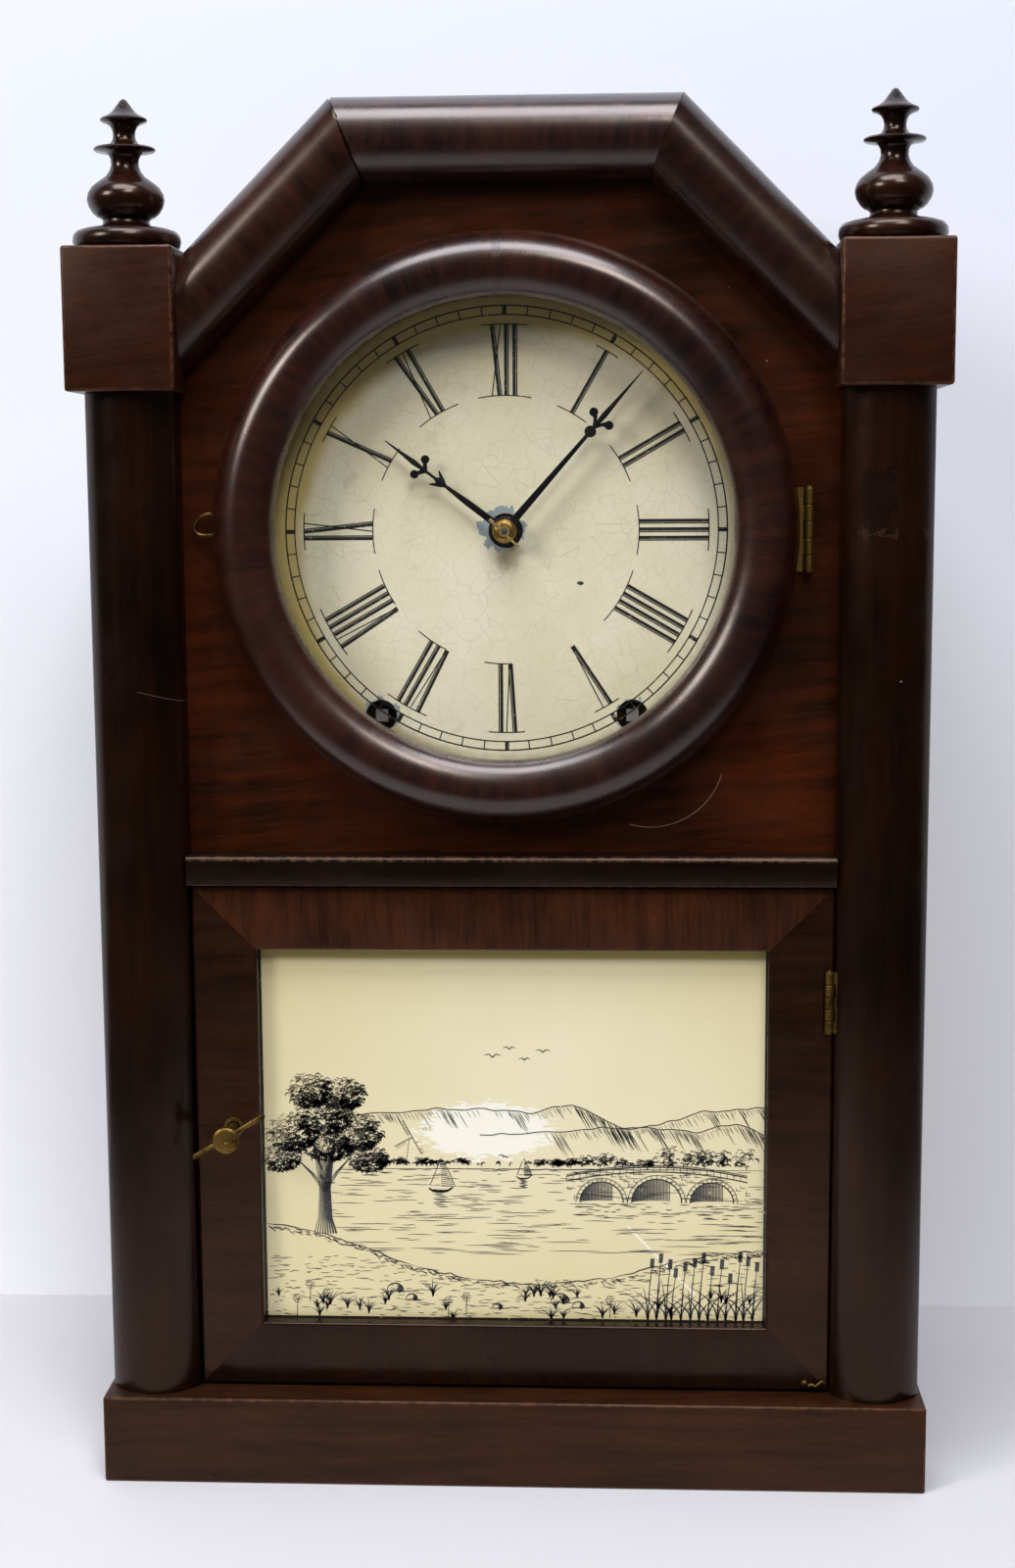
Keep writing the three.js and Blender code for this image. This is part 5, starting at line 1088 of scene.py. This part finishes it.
def build_putty():
    """Old putty that holds the tablet and the dial's glass in their rebates."""
    glass, edge = tablet_high.y, DOOR_REBATE
    section = [(edge, glass), (edge, glass + 0.0034), (edge + 0.0006, glass + 0.003), (edge + 0.0032, glass)]
    section = [(across / DOOR_FRAME, y) for across, y in section]
    corners = door_corners()
    strips = [mitred_strip(a, b, section, 6) for a, b in zip(corners, corners[1:] + corners[:1])]
    add_piece(join_meshes(*strips), "tablet_putty", "lower_door", putty_old)
    low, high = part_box("bezel_glass")
    edge, back = (high.x - low.x) / 2, high.y
    profile = [(edge, back), (edge, back + 0.0026), (edge - 0.0004, back + 0.0024), (edge - 0.0026, back), (edge, back)]
    add_piece(lathe(profile, (DIAL_X, 0, DIAL_Z), steps=96), "glass_putty", "bezel_door", putty_old)


def build_glass_edge_shadow():
    """A painted shadow: the dark line in the gap between the tablet and its frame."""
    left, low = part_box("door_stile_left")[1].x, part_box("door_rail_bottom")[1].z
    right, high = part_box("door_stile_right")[0].x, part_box("door_rail_top")[0].z
    corners = [(left, low), (right, low), (right, high), (left, high), (left, low)]
    strokes = [(list(pair), 0.0011) for pair in zip(corners, corners[1:])]
    add_piece(line_work(strokes, tablet_low.y - 0.00005), "tablet_edge_shadow_line", "lower_door", tablet_ink)


# ---- Brass fittings: their outlines are in millimetres ----


def build_knob():
    """The turned knob on its shank, the thin rod through it, and the washer it turns on."""
    low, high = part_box("door_knob")
    x, z, face = (low.x + high.x) / 2, (low.z + high.z) / 2, low.y
    tail = (high.y - face) / MM
    profile = [
        (0, 0.3), (0.5, 0.28), (0.8, 0.02), (2.6, 0.0), (3.4, 0.12), (3.85, 0.45), (3.95, 0.9), (3.95, 1.7), (3.7, 2.2),
        (2.9, 2.7), (2.1, 3.1), (1.8, 3.6), (2.05, 4.1), (2.3, 4.7), (2.35, 5.3), (2.1, 5.9), (1.7, 6.3), (1.6, 7.0),
        (1.6, tail), (0, tail),
    ]
    knob = turned(profile, (x, face, z))
    add_piece(knob, "door_knob_turned", "latch", brass_brown, ["door_knob"], 40)
    low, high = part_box("knob_cross_rod")
    half = Vector(((high.x - low.x) / 2, 0, (high.z - low.z) / 2))
    reach = half.length / MM - 0.4
    profile = [(0, -1), (0.5, -0.992), (0.85, -0.965), (0.93, -0.92), (0.78, -0.5), (0.72, -0.2), (0.72, 0.2),
               (0.8, 0.5), (0.95, 0.92), (0.85, 0.965), (0.5, 0.992), (0, 1)]
    rod = turned([(r, d * reach) for r, d in profile], (low + high) / 2, half.normalized(), 20)
    add_piece(rod, "knob_cross_rod_turned", "latch", brass_brown, ["knob_cross_rod"], 40)
    profile = [(1.9, 0), (3.1, 0), (3.0, -0.4), (2.0, -0.6), (1.9, 0)]
    washer = turned(profile, (x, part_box("door_stile_left")[0].y, z), steps=32)
    add_piece(washer, "knob_washer", "lower_door", brass_brown)


def build_pull():
    """The bent wire that the upper door is pulled open by."""
    low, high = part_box("bezel_pull")
    bends = [(5.6, 6.9), (4.4, 6.75), (3.1, 6.2), (1.8, 5.2), (0.9, 4.1), (0.5, 3.0), (0.75, 1.9), (1.5, 1.1),
             (2.6, 0.7), (4.0, 0.6), (5.6, 0.7)]
    points = [(low.x + a * MM, (low.y + high.y) / 2, low.z + b * MM) for a, b in bends]
    add_piece(wire(points, 0.00046, 12), "bezel_pull_wire", "bezel_door", brass_brown, ["bezel_pull"], 50)


KNUCKLES = 5


def build_hinges():
    """Smooth knuckles and pin heads over the CAD hinges."""
    for name, moving, edge_x, finish in (
        ("bezel_hinge", "bezel_door", 0.08765, brass_old), ("door_hinge", "lower_door", 0.09465, brass_brown),
    ):
        low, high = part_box(f"{name}_leaf")
        centre = Vector((edge_x - 0.00135, low.y + 0.00135, low.z))
        tall = (high.z - low.z) / MM
        step = tall / KNUCKLES
        for first, body, part in ((0, "case", "fixed"), (1, moving, "moving")):
            barrels = []
            for i in range(first, KNUCKLES, 2):
                a, b = i * step + 0.12, (i + 1) * step - 0.12
                profile = [(0, a), (1.2, a), (1.38, a + 0.18), (1.38, b - 0.18), (1.2, b), (0, b)]
                barrels.append(turned(profile, centre, (0, 0, 1), 24))
            for end, way in ((0, -1), (tall, 1)) if body == "case" else ():
                head = [(0, 0), (0.9, 0), (0.85, 0.25), (0.5, 0.45), (0, 0.5)]
                barrels.append(turned([(r, end + way * d) for r, d in head], centre, (0, 0, 1), 16))
            add_piece(join_meshes(*barrels), f"{name}_knuckles_{part}", body, finish, (), 40)


def build_broken_pivot():
    """What is left of a fitting at the door's lower right corner: a bent stub and a nail's head."""
    low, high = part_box("door_stile_right")
    corner = Vector((high.x, low.y, low.z))
    bends = [(-6.0, -0.5, 1.6), (-5.0, -0.9, 2.1), (-4.0, -1.0, 1.5), (-3.1, -0.8, 2.2), (-2.0, -0.9, 3.2),
             (-1.2, -0.6, 2.6)]
    stub = wire([corner + Vector(bend) * MM for bend in bends], 0.00055)
    profile = [(0, -0.9), (0.6, -0.8), (1.05, -0.3), (1.1, 0.1), (0, 0.1)]
    head = turned(profile, corner + Vector((-0.0072, 0, 0.0021)), steps=16)
    add_piece(join_meshes(stub, head), "broken_lower_pivot", "lower_door", brass_brown, (), 50)


# ---- The tablet's print: a lake with hills, a bridge and a great tree ----


class Sketch:
    """Strokes in millimetres from the tablet's middle."""

    def __init__(self, seed):
        draw = random.Random(seed)
        self.share, self.between, self.whole = draw.random, draw.uniform, draw.randint
        self.strokes = []

    def line(self, points, width=0.24, taper=False):
        placed = [(TABLET_MIDDLE.x + u * MM, TABLET_MIDDLE.z + v * MM) for u, v in points]
        last = max(len(points) - 1, 1)
        if taper:
            width = [width * (0.25 + 0.75 * math.sin(math.pi * i / last)) for i in range(len(points))]
        if not isinstance(width, list):
            width = [width] * len(points)
        self.strokes.append((placed, [w * 1.25 * MM for w in width]))

    def wavy(self, start, end, wobble=0.3, width=0.2, steps=8):
        """A line drawn by hand between two points."""
        points = []
        for i in range(steps + 1):
            t = i / steps
            off = self.between(-wobble, wobble) * math.sin(math.pi * t)
            points.append((start[0] + (end[0] - start[0]) * t, start[1] + (end[1] - start[1]) * t + off))
        self.line(points, width, True)

    def curl(self, u, v, radius, start, sweep, width, steps=4):
        turns = [math.radians(start + sweep * i / steps) for i in range(steps + 1)]
        self.line([(u + radius * math.cos(a), v + radius * math.sin(a)) for a in turns], width, True)

    def leaves(self, u, v, wide, high, count):
        """A mass of leaves as small curls, closer and heavier on the side away from the light."""
        for _ in range(count):
            a, r = self.between(0, 2 * math.pi), math.sqrt(self.share())
            du, dv = math.cos(a) * r, math.sin(a) * r
            shade = 0.5 + 0.5 * (du * 0.6 - dv * 0.8)
            if self.share() > 0.35 + 0.65 * shade:
                continue
            size = self.between(0.45, 0.95)
            start, sweep = self.between(-20, 60), self.between(120, 200)
            self.curl(u + du * wide, v + dv * high, size, start, sweep, 0.12 + 0.3 * shade, 3)

    def tuft(self, u, v, tall, blades, width=0.28):
        """Blades of grass or reed that fan from one root."""
        for i in range(blades):
            lean = (i / max(blades - 1, 1) - 0.5) * 1.3 + self.between(-0.15, 0.15)
            reach = tall * self.between(0.6, 1.0)
            blade = [
                (u + lean * reach * t * t, v + reach * t * (1 - 0.25 * abs(lean) * t)) for t in (0, 0.3, 0.6, 0.85, 1)
            ]
            self.line(blade, [width * k for k in (1, 0.9, 0.7, 0.4, 0.15)])


def mountain_height(u):
    return 6.5 + 8.4 * noise.noise(Vector((u * 0.045, 3.7, 0))) + 1.1 * noise.noise(Vector((u * 0.22, 1.3, 0)))


def draw_mountains(sketch):
    """A far ridge, hatched down its shaded side, with woods along its foot."""
    for left, right, lift in ((-48, 76, 0.0), (-10, 76, -5.5)):
        steps = [left + i * 0.8 for i in range(int((right - left) / 0.8))]
        ridge = [(u, mountain_height(u + lift * 9) + lift) for u in steps]
        sketch.line(ridge, 0.24)
        for (u0, v0), (u1, v1) in zip(ridge, ridge[1:]):
            count, slope, width = (2, 1.2, 0.2) if v1 < v0 else (1, 0.55, 0.13)
            for _ in range(count):
                long = sketch.between(1.5, 6.5) * slope
                u = sketch.between(u0, u1)
                sketch.wavy((u, v0 - 0.3), (u + long * 0.55, v0 - long), 0.12, width, 3)
    for _ in range(120):
        u = sketch.between(-45, 74)
        tall = 1.0 + 2.2 * max(0.0, noise.noise(Vector((u * 0.09, 8.2, 0)))) + (1.6 if u > 42 else 0)
        sketch.leaves(u, -9.6 + tall, 1.8, tall, 14)


def draw_lake(sketch):
    sketch.wavy((-52, -10.6), (76, -10.2), 0.15, 0.26, 60)
    for _ in range(300):
        v = -10.8 - 26 * sketch.share() ** 1.4
        u = sketch.between(-58, 74)
        long = sketch.between(2, 9) * (0.6 + (-v - 10) / 22)
        sketch.wavy((u, v), (min(u + long, 75), v + sketch.between(-0.1, 0.1)), 0.12, 0.17, 5)


def draw_boat(sketch, u, v, size):
    """A small boat with a main sail and a jib, and its broken reflection."""

    def line(points, width, drop=0.0):
        sketch.line([(u + a * size, v + (b - drop) * size) for a, b in points], width)

    for drop in (0.0, 0.28, 0.55):
        hull = [(-3.4, 0.5), (-2.6, -0.1), (-1, -0.4), (1, -0.4), (2.6, -0.05), (3.8, 0.75)]
        line([(a * (1 - drop * 0.22), b) for a, b in hull], 0.42 * size, drop * 0.6)
    mast, main, jib = 0.1 / size, 0.2 / size, -0.2 / size  # these steps from the mast don't shrink with the boat
    line([(0, 0), (mast, 10.5)], 0.2)
    for i in range(13):
        t = i / 13
        line([(main + 0.05 / size, 1.3 + 8.6 * t), (0.4 + 4.2 * (1 - t), 1.1 + 8 * t)], 0.16)
    line([(main, 9.9), (2.9, 5.2), (4.5, 1.1), (main, 1.2)], 0.2)
    line([(jib, 8.6), (-3.1, 1.3), (jib, 1.5)], 0.2)
    for i in range(9):
        side, low = u + (i % 3 - 1) * 0.7 * size, v - (1.3 + 0.5 * i) * size
        sketch.wavy((side - 1.6 * size, low), (side + 1.8 * size, low), 0.1, 0.22, 3)


def draw_bridge(sketch, left, foot):
    """A stone bridge of three arches, its stones drawn in courses and its openings dark."""
    spans = [(0, 13), (15.5, 30.5), (33, 46)]

    def deck(u):
        return foot + 9.6 - 0.0042 * (u - left - 23) ** 2

    for lift, width in ((0, 0.3), (1.5, 0.34), (2.0, 0.2)):
        sketch.line([(left - 4 + i, deck(left - 4 + i) + lift) for i in range(55)], width)
    for i in range(0, 54, 2):
        u = left - 4 + i
        sketch.line([(u, deck(u)), (u, deck(u) + 1.5)], 0.14)
    for start, end in spans:
        middle, radius = left + (start + end) / 2, (end - start) / 2
        rise = radius * 0.98

        def on_arch(i, grow):
            a = math.pi * i / 16
            return middle - (radius + grow) * math.cos(a), foot + (rise + grow) * math.sin(a)

        for grow, width in ((0, 0.34), (1.2, 0.18)):
            sketch.line([on_arch(i, grow) for i in range(17)], width)
        for i in range(1, 16):
            sketch.line([on_arch(i, 0), on_arch(i, 1.2)], 0.16)
        count = int(radius * 2 / 0.42)
        for i in range(1, int(count * 0.8)):
            u = -radius + 0.42 * i
            top = rise * math.sqrt(max(0, 1 - (u / radius) ** 2))
            shade = 0.26 * (1 - 0.7 * i / count) + 0.08
            sketch.line([(middle + u, foot + top * 0.1), (middle + u, foot + top * 0.97)], shade)
    for _ in range(150):
        u = left + sketch.between(-4, 50)
        v = foot + 0.8 * sketch.whole(1, 11)
        if v > deck(u) - 0.4:
            continue
        if all((u - left - (a + b) / 2) ** 2 + (v - foot) ** 2 >= ((b - a) / 2 + 1.4) ** 2 for a, b in spans):
            sketch.line([(u, v), (u + 1.3, v)], 0.14)
            sketch.line([(u, v), (u, v + 0.8)], 0.14)
    for _ in range(44):
        u = left + sketch.between(-4, 48)
        v = foot - sketch.between(0.3, 5)
        sketch.wavy((u, v), (u + sketch.between(1.5, 5), v), 0.1, 0.24, 4)


def draw_tree(sketch, u, foot):
    """A great tree: a forked trunk under heavy leaves."""
    for i in range(9):
        side = -1.9 + i * 0.48
        root = side + (i - 4) * 0.35
        trunk = [(u + a, foot + b) for a, b in ((root, 0), (side, 5), (side * 0.8, 14), (side * 1.5, 26))]
        sketch.line(trunk, 0.2 + 0.035 * i)
    for du, dv in ((-9, 24), (-4, 31), (4, 32), (9, 25)):
        for k in (-0.35, 0.1, 0.5):
            sketch.line([(u + k, foot + 13), (u + du * 0.4 + k, foot + 13 + (dv - 13) * 0.5), (u + du, foot + dv)],
                        0.22, True)
    for du, dv, wide, high, count in (
        (0, 37, 9, 7, 800), (-9.5, 31, 8, 6, 620), (9.5, 31, 8.5, 6, 680), (-4, 44, 7, 5.5, 500), (6, 43, 7, 5, 470),
        (-13, 23, 6, 4.4, 380), (13.5, 23, 6.5, 4.2, 420), (1, 27, 8, 5, 480),
    ):
        sketch.leaves(u + du, foot + dv, wide, high, count)


def draw_windmill(sketch, u, v):
    """A small windmill far off on a low hill."""
    for i in range(7):
        t = i / 6
        sketch.line([(u - 2.1 + 4.2 * t, v), (u - 1.2 + 2.4 * t, v + 7)], 0.14 + 0.16 * t)
    sketch.curl(u, v + 7, 1.35, 0, 180, 0.5, 6)
    for quarter in range(4):
        a = math.radians(28 + 90 * quarter)

        def on_sail(out, side=0.0):
            return (u - 0.3 + out * math.cos(a) - side * math.sin(a), v + 7.2 + out * math.sin(a) + side * math.cos(a))

        sketch.line([on_sail(0), on_sail(6)], 0.2)
        for k in range(2, 9):
            sketch.line([on_sail(0.7 * k), on_sail(0.7 * k, 1.1)], 0.13)


def draw_banks(sketch):
    """The near shore: broken ground, stones, reeds and flowers."""
    between = sketch.between
    shore = [(-75, -28), (-60, -30.5), (-47, -34.5), (-30, -41), (-12, -45), (8, -46.5), (30, -44), (50, -38.5),
             (64, -36), (75.4, -35)]
    for (u0, v0), (u1, v1) in zip(shore, shore[1:]):
        sketch.wavy((u0, v0), (u1, v1), 0.5, 0.34, 10)
        for _ in range(26):
            t = sketch.share()
            u, v = u0 + (u1 - u0) * t, v0 + (v1 - v0) * t
            sketch.wavy((u, v - between(0.2, 1.6)), (u + between(0.8, 2.6), v - between(0.6, 2.4)), 0.1, 0.24, 3)
    for _ in range(520):
        u = between(-75, 74)
        v = -57 + 19 * sketch.share()
        if v < -30 - 15 * math.sin(math.pi * min(1, max(0, (u + 75) / 165))):
            sketch.wavy((u, v), (u + between(1, 4), v + between(-0.4, 0.4)), 0.15, 0.17, 3)
    for _ in range(34):
        sketch.tuft(between(-74, 74), between(-58, -50), between(3, 6.5), 7, 0.34)
    for i in range(13):
        u = 40 + i * 2.7 + between(-0.6, 0.6)
        tall = between(11, 19)
        sketch.line([(u, -57), (u + 0.5, -57 + tall * 0.6), (u + 1.2, -57 + tall)], [0.3, 0.26, 0.2])
        sketch.line([(u + 1.2, -57 + tall), (u + 1.4, -54 + tall)], 1.0)
        sketch.tuft(u, -57, tall * 0.8, 3, 0.42)
    for u, v, size in ((-36, -49, 2.6), (-31, -51.5, 1.8), (14, -52, 2.9), (19.5, -53.5, 1.9), (-5, -54, 1.6)):
        sketch.curl(u, v, size, 0, 180, 0.36, 8)
        for k in range(7):
            sketch.curl(u, v - 0.1 * k, size * (1 - 0.09 * k), 0, 75, 0.3, 4)
        sketch.wavy((u - size - 1, v), (u + size + 2, v), 0.1, 0.3, 5)
    for u, v in ((-62, -47), (-57, -50), (-66, -51.5), (-20, -52), (-14.5, -50.5), (29, -51)):
        sketch.line([(u, v - 5.5), (u + 0.2, v)], 0.2)
        for petal in range(6):
            a = math.radians(60 * petal)
            sketch.curl(u + 0.2 + 0.95 * math.cos(a), v + 0.95 * math.sin(a), 0.5, 0, 330, 0.2, 6)


def draw_birds(sketch):
    for u, v, size in ((-6, 24, 1.5), (-1, 26.5, 1.1), (3.5, 23.2, 1.0), (9, 25.6, 1.3)):
        for side in (-size, size):
            wing = [(u, v), (u + side * 0.7, v + size * 0.65), (u + side * 1.7, v + size * 0.35)]
            sketch.line(wing, [0.3, 0.24, 0.1])


def worn_off(points):
    """Whether a stroke lies in the patch where the print has come away."""
    x, z = points[len(points) // 2]
    u, v = (x - TABLET_MIDDLE.x) / MM, (z - TABLET_MIDDLE.z) / MM
    away = math.hypot(u + 8, (v + 1.5) * 2.3)
    return away + 16 * noise.noise(Vector((u * 0.22, v * 0.9, 5.0))) < 19


def build_tablet_print():
    sketch = Sketch(11)
    draw_mountains(sketch)
    draw_lake(sketch)
    draw_windmill(sketch, -30, -8)
    draw_bridge(sketch, 20, -20.5)
    draw_boat(sketch, -22, -17, 1.0)
    draw_boat(sketch, 3, -13, 0.6)
    draw_tree(sketch, -57, -31)
    draw_banks(sketch)
    draw_birds(sketch)
    kept = [stroke for stroke in sketch.strokes if not worn_off(stroke[0])]
    add_piece(line_work(kept, tablet_low.y - 0.00004), "tablet_print", "lower_door", tablet_ink)


# ---- Kept CAD nodes ----


def dress_nodes():
    finishes = {
        wood_side: ["side_board_left", "side_board_right"],
        wood_roof: ["roof_board_left", "roof_board_right", "roof_board_top"],
        wood_pine: ["back_board", "base_board"],
        brass_old: ["bezel_hinge_leaf", "bezel_hinge_plate", "door_latch", "pendulum_bob"],
        brass_brown: ["door_hinge_leaf", "door_hinge_plate"],
        brass_plate: ["front_plate", "back_plate", "time_great_wheel", "strike_great_wheel", "time_second_wheel",
                      "centre_wheel", "third_wheel", "escape_wheel", "minute_wheel", "hour_wheel",
                      "strike_second_wheel", "strike_third_wheel", "strike_fly"],
        steel_dull: ["time_mainspring", "strike_mainspring", "verge", "pendulum_rod", "hammer"],
        steel_worn: ["time_winding_arbor", "strike_winding_arbor"],
        steel_blued: ["gong_coil"],
        iron_black: ["gong_base"],
    }
    for material, names in finishes.items():
        for name in names:
            dress(name, material)


# ---- Studio ----


def flat_material(name, shade):
    """A matt material whose colour is made by a function of its node tool."""
    material, n, shader = start_material(name)
    n.feed(shader, {"Base Color": shade(n), "Roughness": 0.8})
    return material, n, shader


def backdrop(name, material, place):
    """A great flat sheet of the room, set in its place."""
    mesh = bmesh.new()
    bmesh.ops.create_grid(mesh, x_segments=1, y_segments=1, size=4)
    bmesh.ops.transform(mesh, matrix=place, verts=mesh.verts)
    new_object(name, mesh_data(mesh, name, material))


WALL_Y = 0.097


def floor_shade(n):
    """Pale to the camera. The polish mirrors a room that is dim away from the clock, as the photograph's was."""
    far = n.spread(n.length(object_place(n)), 0.22, 0.55, smooth=True)
    seen = n.add("ShaderNodeLightPath").outputs["Is Camera Ray"]
    return n.mix(n.times(far, n.minus(1.0, seen)), linear("#c8c5c7"), linear("#2a2623"))


def wall_shade(n):
    # Painted shade: the wall is given a darker colour higher up.
    height = n.parts(object_place(n))[2]
    return n.mix(n.spread(height, 0.12, 0.5, smooth=True), linear("#eeeef1"), linear("#d0d2da"))


def build_studio():
    scene = bpy.context.scene
    scene.view_settings.view_transform = "Standard"
    backdrop("studio_floor", flat_material("studio_pale", floor_shade)[0], Matrix())

    # A wall close behind the clock, that lets a view or a light from behind it through.
    wall_pale, n, shader = flat_material("studio_wall_pale", wall_shade)
    clear = n.add("ShaderNodeBsdfTransparent").outputs[0]
    behind = n.add("ShaderNodeNewGeometry").outputs["Backfacing"]
    either = n.add("ShaderNodeMixShader", inputs={0: behind, 1: shader.outputs[0], 2: clear})
    n.feed(wall_pale.node_tree.nodes["Material Output"], {"Surface": either.outputs[0]})
    backdrop("studio_wall", wall_pale, Matrix.Translation((0, WALL_Y, 4)) @ Matrix.Rotation(math.pi / 2, 4, "X"))

    world = bpy.data.worlds.new("studio_light")
    world.use_nodes = True
    n = Nodes(world.node_tree)
    seen = n.add("ShaderNodeLightPath").outputs["Is Camera Ray"]
    strength = n.spread(seen, 0.0, 1.0, 0.07, 0.8)
    n.feed(world.node_tree.nodes["Background"], {"Color": (0.86, 0.88, 0.93, 1), "Strength": strength})
    scene.world = world

    for name, place, target, size, power, colour in (
        ("key_light", (-1.5, -1.3, 1.15), (0, 0, 0.25), (0.6, 0.6), 22, (1.0, 0.985, 0.96)),
        ("front_light", (0.5, -1.6, 1.75), (0, 0, 0.25), (0.7, 0.5), 18.5, (1.0, 0.99, 0.97)),
        ("top_light", (-0.05, -0.46, 1.3), (0, 0, 0.3), (0.9, 0.5), 18, (0.85, 0.9, 1.0)),
    ):
        light = bpy.data.lights.new(name, "AREA")
        light.shape = "RECTANGLE"
        light.size, light.size_y = size
        light.energy = power
        light.color = colour
        holder = new_object(name, light)
        holder.location = place
        holder.rotation_euler = (Vector(target) - Vector(place)).to_track_quat("-Z", "Y").to_euler()


def build_camera():
    """The photograph's view, fitted to the clock's corners."""
    yaw, pitch, roll = (math.radians(a) for a in (2.758, 7.572, -0.33))
    ahead = Vector((-math.sin(yaw) * math.cos(pitch), math.cos(yaw) * math.cos(pitch), -math.sin(pitch)))
    right = Vector((math.cos(yaw), math.sin(yaw), 0))
    up = right.cross(ahead)
    rolled_right = math.cos(roll) * right + math.sin(roll) * up
    rolled_up = -math.sin(roll) * right + math.cos(roll) * up
    data = bpy.data.cameras.new("photo_view")
    data.sensor_width = 36
    data.sensor_fit = "AUTO"
    data.lens = 50
    data.clip_start = 0.01
    holder = new_object("photo_view", data)
    turn = Matrix((rolled_right, rolled_up, -ahead)).transposed().to_4x4()
    holder.matrix_world = Matrix.Translation((0.0297, -0.6714, 0.2938)) @ turn
    bpy.context.scene.camera = holder


for build in (
    build_plinth, build_columns, build_blocks, build_finials, build_crown, build_front_board, build_rail,
    build_ring, build_bezel_glass, build_dial, build_dial_marks, build_hands, build_hand_washer,
    build_door, build_putty, build_tablet_print, build_glass_edge_shadow,
    build_knob, build_pull, build_hinges, build_broken_pivot, dress_nodes, build_studio, build_camera,
):
    build()
